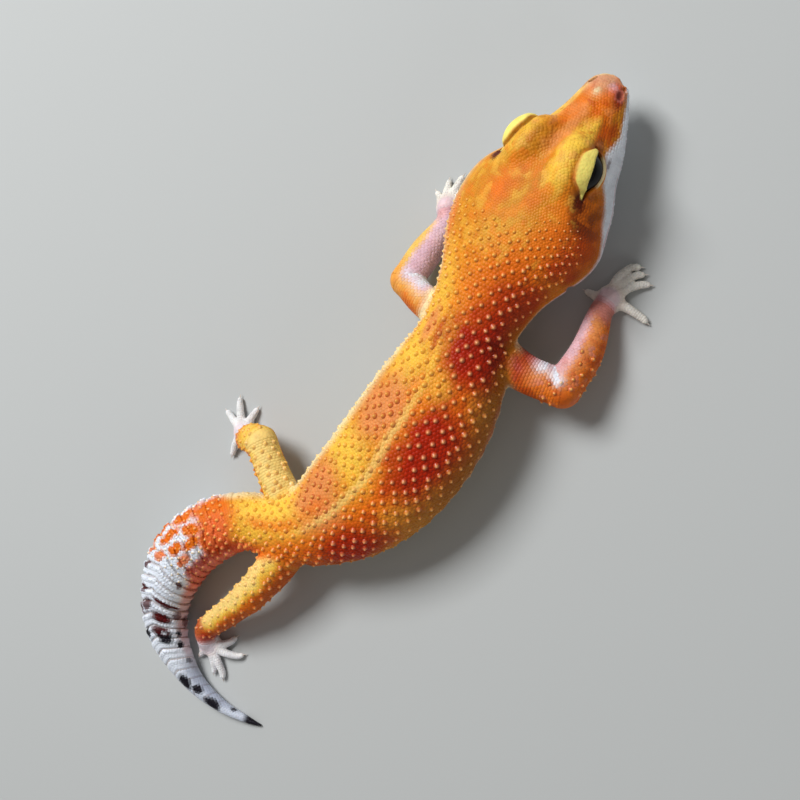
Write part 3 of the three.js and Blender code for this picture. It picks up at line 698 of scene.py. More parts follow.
def paint_back(s):
    left_edge = ease(-46, -70, s.about)
    belly = ease(90, 108, np.abs(s.about))
    for stroke in BACK_MARKS:
        s.mark(*stroke)
    s.lay("red", 0.5 * s.between(50, 98, 5) * s.between(18, 64, 10, s.about)
          * ease(0.0, 0.5, 0.4 * s.slow + 0.9 * s.fast))
    # Painted shade: the right flank above the arm is darkened with rust brown, where the body's own shade
    # falls.
    s.lay("rust_and_shade", 0.45 * s.between(42, 76, 8) * s.between(56, 100, 14, s.about))
    # Cream along the left flank is partly its pale side, partly a painted highlight on the edge that faces
    # the light.
    s.lay("cream", 0.85 * s.between(0, 112) * left_edge)
    s.lay("cream", 0.95 * s.between(36, 112) * belly)
    s.lay("pink", 0.3 * s.between(36, 112) * belly)
    path = np.interp(s.along, *np.transpose(STRIPE_PATH))
    stripe = ease(6.5, 0.5, np.abs(s.about - path + 1.5 * s.slow)) * s.between(48, 92, 6)
    s.lay("yellow", 0.6 * stripe)
    s.lay("cream", 0.2 * stripe * ease(54, 68, s.along))


def paint_tail(s):
    on_tail = ease(110, 114, s.along + 1.5 * s.slow)
    s.lay("yellow", 0.8 * s.between(94, 107) * s.between(-75, -20, 12, s.about))
    s.lay("white", on_tail)
    under = ease(120, 140, np.abs(s.about))
    s.lay("cream", 0.8 * s.between(104, 118) * under)
    s.lay("pink", 0.5 * s.between(122, 148, 6) * s.between(66, 130, 9, s.about))
    lowest = 46 + 20 * ease(121, 130, s.along)
    s.lay("coral", 0.85 * s.between(104, 131, 5) * s.between(0, 78, 10, s.about - lowest + 6 * s.slow))
    # Painted shade: the grooves between the tail's folds are darkened with smoke brown.
    groove = np.cos(2 * np.pi * (s.ringed - RING_START) / RING)
    s.lay("smoke_and_shade", 0.5 * s.between(121, 160, 3) * ease(0.75, 1.0, groove) * ease(130, 100, np.abs(s.about)))
    # Slate grey toward the tail's end is its own tone; the stronger slate on its right side is partly painted
    # shade.
    s.lay("slate", 0.35 * s.between(150, 170, 4))
    s.lay("slate", 0.45 * s.between(149, 162, 3) * s.between(30, 100, 15, s.about))
    for stroke in TAIL_SPOTS:
        s.mark(*stroke, place=s.ringed)
    s.lay("black", ease(164.6, 165.8, s.along + 0.4 * s.slow))


def paint_head(s):
    q = in_head(s.points)
    mirrored = np.abs(q) * [1, 0, 0] + q * [0, 1, 1]
    on_head = ease(36, 31, s.along)
    s.lay("rust_and_shade", 0.06 * on_head)
    for stroke in HEAD_MARKS:
        s.mark(*stroke, within=on_head)
    edge = np.interp(s.along, *np.transpose(LIP_LINE))
    lips = ease(-4, 4, np.abs(s.about) - edge + 3 * s.slow) * ease(40, 33, s.along)
    s.lay("red", 0.5 * s.between(1, 11, 2) * ease(0.0, 0.7, 0.5 * s.slow + 0.9 * s.fast) * (1 - lips))
    s.lay("salmon", 0.5 * s.between(2, 20, 4) * ease(0.0, 0.7, -0.5 * s.slow - 0.9 * s.fast) * (1 - lips))
    crown = s.between(15, 36, 3) * (1 - lips)
    s.lay("orange", 0.45 * crown * ease(0.05, 0.6, 0.4 * s.slow + 0.9 * s.fast))
    s.lay("yellow", 0.35 * crown * ease(0.05, 0.6, -0.4 * s.slow - 0.9 * s.fast) * ease(60, 40, s.about))
    s.lay("white", 0.95 * lips)
    s.lay("pink", 0.45 * lips * ease(18, 30, s.along))
    s.mark("maroon", (12.3, 66), (0.8, 2.6), 0.5, 0.6)
    mouth = ease(0.5, 0.25, np.abs(mirrored[:, 2] - MOUTH["level"] + 0.3)) * (q[:, 1] > MOUTH["corner"])
    s.lay("pink", 0.35 * mouth * on_head)
    # The dark inside each nostril and ear is painted shade in the hollow.
    for hole, tone in ((NOSTRIL, "rust_and_shade"), (EAR, "rust_and_shade")):
        far = np.linalg.norm((mirrored - hole["at"]) / hole["size"], axis=1)
        s.lay("pink", 0.4 * ease(1.7, 1.2, far))
        s.lay(tone, 0.95 * ease(1.1, 0.85, far))


def paint_eyes(s):
    """The lids are the palest skin. The dark corners before and behind the eye and the brown band in the
    crease over the upper lid are painted shade.
    """
    for side in (1, -1):
        e = in_eye(s.points, side)
        far = np.linalg.norm(e, axis=1)
        angle, reach = round_lids(e)
        near = ease(7.4, 6.0, far) * ease(-1.5, 0.5, e[:, 0])
        corner = ease(2.6, 4.4, np.abs(e[:, 1])) * s.between(-10, 60, 14, angle - 26 * (e[:, 1] < 0))
        # Painted shade in the corners before and behind the eye.
        s.lay("rust_and_shade", 1.2 * near * corner)
        top, high, bottom = lid_edges(e)
        lid = ease(5.5, 5.1, far) * ease(0.0, 0.8, e[:, 0])
        s.lay("lid", lid * ease(-7, -1, angle - top) * ease(-1, -7, angle - high)
              * ease(4.6, 4.1, np.abs(e[:, 1])))
        # Painted shade in the crease over the upper lid.
        s.lay("smoke_and_shade", 0.35 * lid * s.between(-3, 9, 2, angle - high) * ease(4.4, 3.4, np.abs(e[:, 1])))
        s.lay("cream", 0.9 * lid * s.between(LID["lower"][1] + 4, LID["lower"][0] + 3, 3, angle)
              * ease(2.8, 1.8, np.abs(e[:, 1] - 0.4)))
        s.lay("black", ease(4.15, 3.95, far) * ease(-4, 4, angle - bottom) * ease(4, -4, angle - top))


def paint_legs(s):
    for name, (upper, lower) in LIMBS.items():
        chain = np.concatenate([upper, lower])
        steps = np.linalg.norm(np.diff(chain[:, :3], axis=0), axis=1)
        way = np.concatenate([[0], np.cumsum(steps)])
        bend, end = way[len(upper) - 1], way[-1]
        near = nearest(s.points, chain[:, :3])
        off = np.linalg.norm(s.points - chain[near, :3], axis=1) - chain[near, 3]
        down = way[near]
        toes = np.concatenate(TOES[name])
        to_toes = np.linalg.norm(s.points - toes[nearest(s.points, toes[:, :3]), :3], axis=1)
        middle = np.array(FEET[name][0]) - MIDDLE[:2]
        from_foot = np.linalg.norm(s.points[:, :2] - middle, axis=1)
        on_toes = ease(2.0, 1.3, to_toes) * ease(1.4, 2.4, from_foot)
        on_leg = ease(0.1, 1.6, s.clear) * np.maximum(ease(1.6, 0.8, off), on_toes)
        inner, top, edge, ankle, palm = LEG_TONES[name]
        inward = s.facing @ unit(np.array(inner, float)) + 0.25 * s.slow
        arm, mottled = name.endswith("arm"), name == "right_arm"
        s.lay(top, on_leg)
        s.lay(edge, 0.9 * on_leg * ease(0.35 - 0.15 * mottled, -0.25 - 0.2 * mottled, inward))
        if arm:
            s.lay(palm, 0.8 * on_leg * ease(0.3, 0.8, inward))
            s.lay("white", 0.95 * on_leg * ease(0.0, 0.5, inward) * s.between(bend - 5, bend + 1, 1.5, down))
            s.lay("pink", (0.5 if mottled else 0.15) * on_leg * ease(0.0, 0.6, -s.slow - s.fast))
        if mottled:
            s.lay("red", 0.5 * on_leg * ease(0.1, 0.6, s.slow + 0.5 * s.fast) * ease(0.4, 0.1, inward))
            # Red, then maroon, at the arm's root where it meets the body: partly its red skin, partly painted
            # shade.
            s.lay("red", 0.8 * on_leg * ease(11, 7.5, down))
            s.lay("maroon", 0.6 * on_leg * ease(9, 5.5, down))
        elif arm:
            s.lay("orange", 0.85 * on_leg * ease(bend - 1, bend - 4, down) * ease(0.05, -0.35, inward))
            s.lay("red", 0.4 * on_leg * ease(bend - 1, bend - 4, down) * ease(-0.1, -0.5, inward))
        else:
            s.lay("cream", 0.35 * on_leg * ease(0.1, 0.7, inward))
            s.lay("red", 0.5 * on_leg * ease(0.15, -0.4, inward))
        s.lay("orange", 0.5 * on_leg * s.between(bend - 3, bend + 2, 2, down) * ease(0.2, -0.3, inward))
        s.lay("cream", 0.5 * on_leg * ease(0.4, 0.9, -s.facing[:, 2]))
        above_foot = 5.5 if ankle == "red" else 4
        s.lay(ankle, 0.85 * on_leg * s.between(end - above_foot, end - 0.5, 1.2, down + s.slow))
        s.lay(palm, 0.9 * on_leg * ease(end - 2.0, end - 0.8, down) * (1 - on_toes))
        s.lay("white", 0.9 * on_leg * np.maximum(on_toes, ease(end - 1.2, end - 0.2, down + 0.5 * s.slow)))
        s.lay("pink", (0.5 if arm else 0.25) * on_leg * ease(3.2, 1.2, from_foot))
        s.lay("cream", (0.35 if arm else 0.12) * on_leg * on_toes)


def tones_at(points, facing):
    s = Strokes(points, facing)
    for paint in (paint_back, paint_tail, paint_head, paint_eyes, paint_legs):
        paint(s)
    return s.shares


def store(mesh, name, values, kind="FLOAT"):
    attribute = mesh.attributes.new(name, kind, "POINT")
    key = "value" if kind == "FLOAT" else "vector"
    attribute.data.foreach_set(key, np.asarray(values, np.float32).ravel())


skin_at, skin_facing = read_mesh(skin_mesh)
for tone, share in tones_at(skin_at, skin_facing).items():
    store(skin_mesh, tone, share)
store(skin_mesh, "root", skin_at * MM, "FLOAT_VECTOR")
store(skin_mesh, "tip", np.zeros(len(skin_at)))


def linear(hexed):
    """An sRGB hex colour in linear light."""
    parts = [int(hexed[i:i + 2], 16) / 255 for i in (1, 3, 5)]
    return (*[c / 12.92 if c <= 0.04045 else ((c + 0.055) / 1.055) ** 2.4 for c in parts], 1)


def add(tree, kind, inputs=(), **settings):
    """Adds a node with its settings; an input is a value, or what links to it."""
    node = tree.nodes.new(kind)
    for key, value in settings.items():
        setattr(node, key, value)
    for key, value in dict(inputs).items():
        value = value.outputs[0] if isinstance(value, bpy.types.Node) else value
        if isinstance(value, bpy.types.NodeSocket):
            tree.links.new(value, node.inputs[key])
        else:
            node.inputs[key].default_value = value
    return node


def skin_look(name, roughness, uneven=0.12, gloss=0.22, tip_and_highlight_share=0.0, grain=0.0):
    """Living gecko skin is dry horn over soft flesh: satin, never wet, and a
    little light goes in. The tones come from the strokes, and each scale is a
    shade lighter or darker than the next."""
    look = bpy.data.materials.new(name)
    look.use_nodes = True
    tree = look.node_tree
    shader = tree.nodes["Principled BSDF"]
    total = None
    for tone, hexed in TONES.items():
        share = add(tree, "ShaderNodeAttribute", attribute_name=tone)
        part = add(tree, "ShaderNodeVectorMath", {0: linear(hexed)[:3], "Scale": share.outputs["Fac"]},
                   operation="SCALE")
        total = part if total is None else add(
            tree, "ShaderNodeVectorMath", {0: total, 1: part}, operation="ADD")
    root = add(tree, "ShaderNodeAttribute", attribute_name="root")
    patchy = add(tree, "ShaderNodeTexNoise", {"Vector": root.outputs["Vector"], "Scale": 700, "Detail": 3})
    vary = add(tree, "ShaderNodeMapRange", {"Value": patchy.outputs["Fac"], "From Min": 0.3,
                                            "From Max": 0.7, "To Min": 1 - uneven, "To Max": 1 + uneven})
    colour = add(tree, "ShaderNodeVectorMath", {0: total, "Scale": vary.outputs["Result"]},
                 operation="SCALE").outputs[0]
    # Scales turn pale toward their tips: partly the horn's paler tips, partly a painted highlight where the
    # tips catch the light.
    if tip_and_highlight_share:
        tip = add(tree, "ShaderNodeAttribute", attribute_name="tip")
        sharp = add(tree, "ShaderNodeMath", {0: tip.outputs["Fac"], 1: 1.6}, operation="POWER")
        pale = add(tree, "ShaderNodeAttribute", attribute_name="pale")
        most = add(tree, "ShaderNodeMath", {0: pale.outputs["Fac"], 1: tip_and_highlight_share}, operation="MULTIPLY")
        share = add(tree, "ShaderNodeMath", {0: sharp, 1: most}, operation="MULTIPLY")
        warm = add(tree, "ShaderNodeAttribute", attribute_name="warm")
        tip_tone_and_highlight = add(tree, "ShaderNodeMix", {"Factor": warm.outputs["Fac"], "A": linear("#FFCE55"),
                                               "B": linear("#FFB878")}, data_type="RGBA")
        colour = add(tree, "ShaderNodeMix", {"Factor": share, "A": colour, "B": tip_tone_and_highlight.outputs["Result"]},
                     data_type="RGBA").outputs["Result"]
    tree.links.new(colour, shader.inputs["Base Color"])
    shader.inputs["Roughness"].default_value = roughness
    shader.inputs["IOR"].default_value = 1.45
    shader.inputs["Specular IOR Level"].default_value = gloss
    shader.inputs["Subsurface Weight"].default_value = 0.08
    shader.inputs["Subsurface Radius"].default_value = (1.0, 0.35, 0.2)
    shader.inputs["Subsurface Scale"].default_value = 0.0010
    if grain:
        place = add(tree, "ShaderNodeTexCoord")
        cells = add(tree, "ShaderNodeTexVoronoi", {"Vector": place.outputs["Object"],
                                                   "Scale": 1 / (grain * MM)})
        bump = add(tree, "ShaderNodeBump", {"Height": cells.outputs["Distance"], "Strength": 0.5,
                                            "Distance": 0.25 * grain * MM}, invert=True)
        tree.links.new(bump.outputs[0], shader.inputs["Normal"])
    return look


# The skin itself shows between the scales; its bump is grains of 0.4 mm.
skin_mesh.materials.append(skin_look("dry granular skin", 0.5, grain=0.4))
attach(skin, "root")
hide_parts(*[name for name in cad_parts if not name.startswith("eye_")])

# ---- Eyes -------------------------------------------------------------------
# Large eyeballs with a nearly black iris, a slit pupil and a wet, clear
# cornea. Each is a ball sunk behind the lids and bulging a little in front.
EYE_ROWS, EYE_AROUND = 48, 64
CORNEA_BULGE = 0.25
GAZE_UP = math.radians(24)


def eye_ball():
    """A unit ball with its pole forward along x, as directions and faces."""
    polar = np.linspace(0, np.pi, EYE_ROWS + 1)[1:-1]
    circle = np.linspace(0, 2 * np.pi, EYE_AROUND, endpoint=False)
    rings = [[np.cos(p), np.sin(p) * np.cos(c), np.sin(p) * np.sin(c)] for p in polar for c in circle]
    last = len(rings) + 1
    faces = []
    for c in range(EYE_AROUND):
        after = (c + 1) % EYE_AROUND
        faces.append([0, 1 + c, 1 + after])
        faces.append([last, last - EYE_AROUND + after, last - EYE_AROUND + c])
        for r in range(EYE_ROWS - 2):
            a, b = 1 + r * EYE_AROUND + c, 1 + r * EYE_AROUND + after
            faces += [[a, a + EYE_AROUND, b + EYE_AROUND], [a, b + EYE_AROUND, b]]
    return np.array([[1.0, 0, 0]] + rings + [[-1.0, 0, 0]]), np.array(faces)


def eye_look():
    """Wet cornea over a dark iris: the coat gives the sharp, small highlight."""
    look = bpy.data.materials.new("wet dark eye")
    look.use_nodes = True
    tree = look.node_tree
    shader = tree.nodes["Principled BSDF"]
    gaze = add(tree, "ShaderNodeAttribute", attribute_name="gaze")
    split = add(tree, "ShaderNodeSeparateXYZ", {0: gaze.outputs["Vector"]})
    veins = add(tree, "ShaderNodeTexNoise", {"Vector": gaze.outputs["Vector"], "Scale": 9, "Detail": 5,
                                             "Distortion": 1.5})
    iris = add(tree, "ShaderNodeValToRGB", {"Fac": veins.outputs["Fac"]})
    iris.color_ramp.elements[0].position = 0.5
    iris.color_ramp.elements[0].color = linear("#070505")
    iris.color_ramp.elements[1].position = 0.78
    iris.color_ramp.elements[1].color = linear("#1C1613")
    tall = add(tree, "ShaderNodeMath", {0: split.outputs["Z"], 1: 0.55}, operation="MULTIPLY")
    flat = add(tree, "ShaderNodeMath", {0: split.outputs["Y"], 1: 2.6}, operation="MULTIPLY")
    square = add(tree, "ShaderNodeCombineXYZ", {"X": flat, "Y": tall})
    far = add(tree, "ShaderNodeVectorMath", {0: square}, operation="LENGTH")
    slit = add(tree, "ShaderNodeMapRange", {"Value": far.outputs["Value"], "From Min": 0.36, "From Max": 0.4})
    dark = add(tree, "ShaderNodeMix", {"Factor": slit, "A": linear("#030303"), "B": iris}, data_type="RGBA")
    tree.links.new(dark.outputs["Result"], shader.inputs["Base Color"])
    shader.inputs["Roughness"].default_value = 0.25
    shader.inputs["Specular IOR Level"].default_value = 0.1
    shader.inputs["Coat Weight"].default_value = 0.25
    shader.inputs["Coat Roughness"].default_value = 0.03
    return look


EYE_LOOK = eye_look()
ball, ball_faces = eye_ball()
for which, side in (("right", 1), ("left", -1)):
    centre = HEAD_AT + HEAD_AXES @ np.array([side * EYE["out"], EYE["forward"], EYE["up"]])
    axes = HEAD_AXES @ turned(side * EYE["yaw"], "z")
    reach = EYE["radius"] + CORNEA_BULGE * ease(0.75, 1.0, ball[:, 0])
    lifted = (ball * reach[:, None]) @ turned(-GAZE_UP, "y").T
    faces = ball_faces if side > 0 else ball_faces[:, ::-1]
    eye = mesh_piece(f"eyeball_{which}", (lifted * [side, 1, 1]) @ axes.T + centre, faces)
    store(eye.data, "gaze", ball, "FLOAT_VECTOR")
    eye.data.materials.append(EYE_LOOK)
    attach(eye, "root")
    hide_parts(f"eye_{which}")

# ---- Tubercles --------------------------------------------------------------
# Blunt cones of horn, about 1 mm across, stand in slanting rows on the neck,
# back, tail root and legs. One tree of nodes sets a small form on each root,
# and the same tree makes every coat of scales after this one.


def scale_form(name, sides, rings, lean=0.0):
    """A small closed form of unit size, from rings of (height, radius)."""
    points, faces = [], []
    for height, radius in rings:
        for k in range(sides):
            a = 2 * math.pi * k / sides
            points.append((radius * math.cos(a), radius * math.sin(a) + lean * max(height, 0), height))
    top = len(points)
    points.append((0, lean, 1))
    for r in range(len(rings) - 1):
        for k in range(sides):
            a, b = r * sides + k, r * sides + (k + 1) % sides
            faces.append((a, b, b + sides, a + sides))
    for k in range(sides):
        faces.append((top - sides + k, top - sides + (k + 1) % sides, top))
    faces.append(tuple(reversed(range(sides))))
    mesh = bpy.data.meshes.new(name)
    mesh.from_pydata(points, [], faces)
    mesh.shade_smooth()
    where = np.array(points)
    store(mesh, "spot", where * [0.5, 0.5, 0], "FLOAT_VECTOR")
    store(mesh, "tip", np.clip(where[:, 2], 0, 1))
    return bpy.data.objects.new(name, mesh)


def coat_tree():
    """Points in, scales out: each stands on its root, leans back along the body
    and keeps its own patch of the unwrap."""
    tree = bpy.data.node_groups.new("scales on roots", "GeometryNodeTree")
    tree.is_modifier = True
    for name, kind in (("Geometry", "Geometry"), ("Form", "Object"), ("Height", "Float"),
                       ("Patch", "Float"), ("Finish", "Material")):
        tree.interface.new_socket(name, in_out="INPUT", socket_type="NodeSocket" + kind)
    tree.interface.new_socket("Geometry", in_out="OUTPUT", socket_type="NodeSocketGeometry")
    start = add(tree, "NodeGroupInput")
    facing, lie, size, spot, unwrap = [
        add(tree, "GeometryNodeInputNamedAttribute", {"Name": name}, data_type="FLOAT_VECTOR")
        for name in ("facing", "lie", "size", "spot", "unwrap")]
    form = add(tree, "GeometryNodeObjectInfo", {"Object": start.outputs["Form"]})
    turn = add(tree, "FunctionNodeAxesToRotation", {"Primary Axis": facing, "Secondary Axis": lie},
               primary_axis="Z", secondary_axis="Y")
    tall = add(tree, "ShaderNodeCombineXYZ", {"X": 1.0, "Y": 1.0, "Z": start.outputs["Height"]})
    scaled = add(tree, "ShaderNodeVectorMath", {0: size, 1: tall}, operation="MULTIPLY")
    placed = add(tree, "GeometryNodeInstanceOnPoints",
                 {"Points": start.outputs["Geometry"], "Instance": form.outputs["Geometry"],
                  "Rotation": turn, "Scale": scaled})
    real = add(tree, "GeometryNodeRealizeInstances", {"Geometry": placed})
    patch = add(tree, "ShaderNodeVectorMath", {0: spot, "Scale": start.outputs["Patch"]}, operation="SCALE")
    where = add(tree, "ShaderNodeVectorMath", {0: unwrap, 1: patch}, operation="ADD")
    mapped = add(tree, "GeometryNodeStoreNamedAttribute",
                 {"Geometry": real, "Name": "OFBake", "Value": where},
                 data_type="FLOAT2", domain="CORNER")
    finished = add(tree, "GeometryNodeSetMaterial",
                   {"Geometry": mapped, "Material": start.outputs["Finish"]})
    add(tree, "NodeGroupOutput", {"Geometry": finished})
    return tree


COAT = coat_tree()
PATCH = 0.003  # each scale's share of the unwrap
# The deeper tone that part of a tone turns into on a coat, and how readily: partly the scales' own deeper
# tone, partly painted shade below their tips.
DEEPER = {
    "salmon": ("red", 2.2), "amber": ("orange", 1),
    "yellow": ("orange", 1.3), "orange": ("red", 1),
}


def coat(name, roots, form, height, finish, deeper=0.0):
    """One coat of scales from a table of roots, which may be of a deeper tone
    than the skin under them: partly their own tone, partly painted shade."""
    mesh = bpy.data.meshes.new(name)
    mesh.from_pydata((roots["at"] * MM).tolist(), [], [])
    store(mesh, "facing", roots["facing"], "FLOAT_VECTOR")
    store(mesh, "lie", roots["lie"], "FLOAT_VECTOR")
    store(mesh, "size", roots["size"] * MM, "FLOAT_VECTOR")
    store(mesh, "unwrap", roots["unwrap"], "FLOAT_VECTOR")
    store(mesh, "root", roots["at"] * MM, "FLOAT_VECTOR")
    shares = tones_at(roots["at"], roots["facing"])
    store(mesh, "pale", 1 - 0.35 * shares["salmon"] - 0.2 * shares["yellow"])
    warm = shares["red"] + shares["maroon"] + shares["rust_and_shade"] + 0.4 * shares["orange"]
    store(mesh, "warm", np.clip(warm, 0, 1))
    for tone, (next_tone, times) in DEEPER.items():
        moved = shares[tone] * deeper * times
        shares[tone] -= moved
        shares[next_tone] += moved
    for tone, share in shares.items():
        store(mesh, tone, share)
    piece = bpy.data.objects.new(name, mesh)
    bpy.context.collection.objects.link(piece)
    modifier = piece.modifiers.new("scales", "NODES")
    modifier.node_group = COAT
    values = {"Form": form, "Height": height, "Patch": PATCH, "Finish": finish}
    for item in COAT.interface.items_tree:
        if item.in_out == "INPUT" and item.name in values:
            modifier[item.identifier] = values[item.name]
    made = bpy.data.meshes.new_from_object(piece.evaluated_get(bpy.context.evaluated_depsgraph_get()))
    piece.modifiers.clear()
    piece.data = made
    for spare in ("facing", "lie", "size", "unwrap", "spot"):
        made.attributes.remove(made.attributes[spare])
    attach(piece, "root")
    return piece


SKIN_TREE = BVHTree.FromPolygons((skin_at * MM).tolist(), [tuple(p.vertices) for p in skin_mesh.polygons])


def ring_on_back(along):
    """The section of the body so far along the back: its middle, its axes to the
    front, right and up, and its reach to the side, up and down."""
    s = np.interp(along, BACK_LENGTH, BACK_T) * PER_STATION
    low = min(int(s), len(BACK_AT) - 2)
    w = s - low
    mixed = [table[low] * (1 - w) + table[low + 1] * w for table in (BACK_AT, AHEAD, RIGHT, UP, BACK_SIZE)]
    return mixed[0], mixed[1], mixed[2], mixed[3], mixed[4]


def ring_on_chain(chain):
    """The same for a leg or a toe, as a function of the way down it."""
    way = np.concatenate([[0], np.cumsum(np.linalg.norm(np.diff(chain[:, :3], axis=0), axis=1))])

    def place(down):
        return np.array([np.interp(down, way, chain[:, k]) for k in range(4)])

    def ring(down):
        back = unit(place(down - 0.4)[:3] - place(down + 0.4)[:3])
        right = unit(np.cross(back, [0, 0, 1.0]))
        here = place(down)
        return here[:3], back, right, np.cross(right, back), here[[3, 3, 3]]

    return ring, way[-1]


def rows_of_roots(ring_at, start, end, step, span, seed, strip, limits=(-180, 180), proud=0.8, jitter=0.08,
                  slant=0.0):
    """Roots in staggered rings: a step from ring to ring and a span from scale
    to scale, which may change along the way, between two limits in degrees. A
    slanted ring runs back to either side."""
    rng = np.random.default_rng(seed)
    rows = {key: [] for key in ("at", "facing", "lie", "along", "about", "unwrap")}
    turn = np.radians(np.arange(-180, 181, 3.0))
    along, row = start, 0
    while along < end:
        gap = float(np.interp(along, *span)) if isinstance(span, tuple) else span
        pitch = float(np.interp(along, *step)) if isinstance(step, tuple) else step
        middle, front, right, up, size = ring_at(along)
        tall = np.where(np.cos(turn) > 0, size[1], size[2]) * np.cos(turn)
        edge = np.stack([size[0] * np.sin(turn), tall], 1)
        arc = np.concatenate([[0], np.cumsum(np.linalg.norm(np.diff(edge, axis=0), axis=1))])
        arc -= np.interp(0, turn, arc)
        low, high = np.interp(np.radians(limits), turn, arc)
        whole = limits[1] - limits[0] == 360
        if whole:
            gap = (high - low) / max(5, round((high - low) / gap))
        for k in range(math.ceil(low / gap) - 1, math.floor(high / gap) + 1):
            place = (k + 0.5 * (row % 2) + rng.normal() * jitter) * gap
            if not low <= place < high - 0.5 * gap * whole:
                continue
            angle = np.interp(place, arc, turn)
            shift = rng.normal() * jitter * pitch
            if slant:
                shift += slant * size[0] * abs(math.degrees(angle))
                middle, front, right, up, _ = ring_at(along + shift)
                middle = middle + front * shift
            out = right * size[0] * math.sin(angle) + up * np.interp(angle, turn, tall)
            far = np.linalg.norm(out)
            hit, normal, _, distance = SKIN_TREE.ray_cast(
                Vector((middle - front * shift) * MM), Vector(out / far), (far + proud) * MM)
            if hit is None or distance < 0.55 * far * MM or hit.z < 0.35 * MM:
                continue
            rows["at"].append(np.array(hit) / MM)
            rows["facing"].append(np.array(normal))
            rows["lie"].append(-front)
            rows["along"].append(along + shift)
            rows["about"].append(math.degrees(angle))
            rows["unwrap"].append((strip[0] + place / 220, strip[1] + (along + shift) / 180, 0))
        along += pitch
        row += 1
    return {key: np.array(value) for key, value in rows.items()}


def kept(roots, keep):
    return {key: value[keep] for key, value in roots.items()}


def joined_roots(tables):
    return {key: np.concatenate([table[key] for table in tables]) for key in tables[0]}


def off_the_body(roots):
    """Keeps the roots on a leg that are clear of the body."""
    _, x, z, size, _ = on_back(roots["at"])
    reach = np.where(z > 0, size[:, 1], size[:, 2])
    return kept(roots, (np.hypot(x / size[:, 0], z / reach) - 1) * size[:, 1] > 0.3)


def clear_of_eyes(roots, margin):
    far = [np.linalg.norm(in_eye(roots["at"], side), axis=1) for side in (1, -1)]
    return kept(roots, np.minimum(*far) > EYE["radius"] + margin)


def on_lids(points):
    """True on the smooth lids, down to the creases above and below them."""
    on = np.zeros(len(points), bool)
    for side in (1, -1):
        e = in_eye(points, side)
        angle, _ = round_lids(e)
        close = np.linalg.norm(e, axis=1) < EYE["radius"] + 1.35
        on |= close & (e[:, 0] > -0.5) & (angle > LID["lower"][1] - 4) & (angle < LID["upper"][1] + 8)
    return on


def in_holes(points):
    """True inside the nostrils and the ears."""
    q = in_head(points)
    q[:, 0] = np.abs(q[:, 0])
    far = [np.linalg.norm((q - hole["at"]) / hole["size"], axis=1) for hole in (NOSTRIL, EAR)]
    return np.minimum(*far) < 1.15


BODY_STRIP = (0.20, 0.02)
LEG_STRIPS = {name: (0.42 + 0.12 * k, 0.02) for k, name in enumerate(LEGS)}
# Half widths of the tubercles along the body, and how they shrink round it.
TUBERCLE_SIZE = ((22, 27, 34, 45, 60, 95, 112, 126), (0.16, 0.28, 0.43, 0.52, 0.52, 0.5, 0.42, 0.28))
TUBERCLE_FADE = ((48, 72, 100), (1.0, 0.78, 0.4))
back = rows_of_roots(
    ring_on_back, 22, 108, ((22, 32, 42, 108), (0.75, 0.95, 1.22, 1.15)),
    ((22, 32, 42, 90, 108), (2.1, 2.5, 2.9, 2.8, 2.3)), 11, BODY_STRIP, (-98, 98), jitter=0.08)
grow = np.interp(back["along"], *TUBERCLE_SIZE) * np.interp(np.abs(back["about"]), *TUBERCLE_FADE)
varied = np.random.default_rng(31).uniform(0.86, 1.08, len(grow))
grow *= varied * np.interp(back["about"], (-60, 10), (0.84, 1))
back["size"] = grow[:, None] * [1, 1.05, 1]
edge = np.interp(back["along"], (21, 25, 34, 45), (50, 66, 76, 98))
from_front = back["along"] - np.interp(back["about"], (-40, 10, 40), (29, 29, 22))
back = clear_of_eyes(kept(back, (np.abs(back["about"]) < edge) & (from_front > 0)), 2.4)
ringed = rows_of_roots(
    ring_on_back, RING_START - 7 * RING, 126, RING / 2, 1.9, 12, BODY_STRIP, (-95, 95),
    jitter=0.06, slant=RING_SLANT)
grow = np.interp(ringed["along"], *TUBERCLE_SIZE) * np.interp(np.abs(ringed["about"]), (70, 95), (1, 0.5))
ringed["size"] = grow[:, None] * [1, 1.2, 1]
cones = [back, ringed]
for name, (upper, lower) in LIMBS.items():
    ring, end = ring_on_chain(np.concatenate([upper, lower[1:]]))
    if name == "left_arm":
        continue
    hind = name.endswith("leg")
    first, last = (3, end - 3) if hind else (13, 22)
    leg = off_the_body(rows_of_roots(ring, first, last, 1.45, 2.2, 21, LEG_STRIPS[name], jitter=0.14))
    toward = np.array([0, 0, 1.0]) if hind else unit(np.array([0.8, -0.4, 0.5]))
    grow = np.interp(leg["along"], (3, 18), (0.50, 0.38) if hind else (0.36, 0.36))
    grow = np.where(leg["facing"] @ toward > (-0.1 if hind else 0.3), grow, 0)
    leg["size"] = grow[:, None] * [1, 1.1, 1]
    cones.append(kept(leg, grow > 0))
TUBERCLE = scale_form("tubercle", 8, ((-0.3, 1.25), (0.08, 1.1), (0.45, 0.7), (0.86, 0.3)), 0.15)
coat("tubercles", joined_roots(cones), TUBERCLE, 1.05,
     skin_look("horny tubercles", 0.34, gloss=0.5, tip_and_highlight_share=0.85), deeper=0.3)

# ---- Fine scales of the head ------------------------------------------------
# Smooth granules about 0.6 mm across, close together and all of one size over
# the snout, brow, cheeks and lips.
GRANULE = scale_form("granule", 6, ((-0.5, 0.95), (0.45, 0.8)))
HEAD_SCALE = 0.32  # half its width, as for each coat below
face = rows_of_roots(ring_on_back, 1.0, 34, 0.46, 0.53, 13, BODY_STRIP, proud=2.6, jitter=0.12)
face = kept(face, ~on_lids(face["at"]) & ~in_holes(face["at"]))
face["size"] = np.full((len(face["at"]), 1), HEAD_SCALE) * [1, 1, 0.8]
coat("head_scales", face, GRANULE, 0.13, skin_look("fine head scales", 0.46))

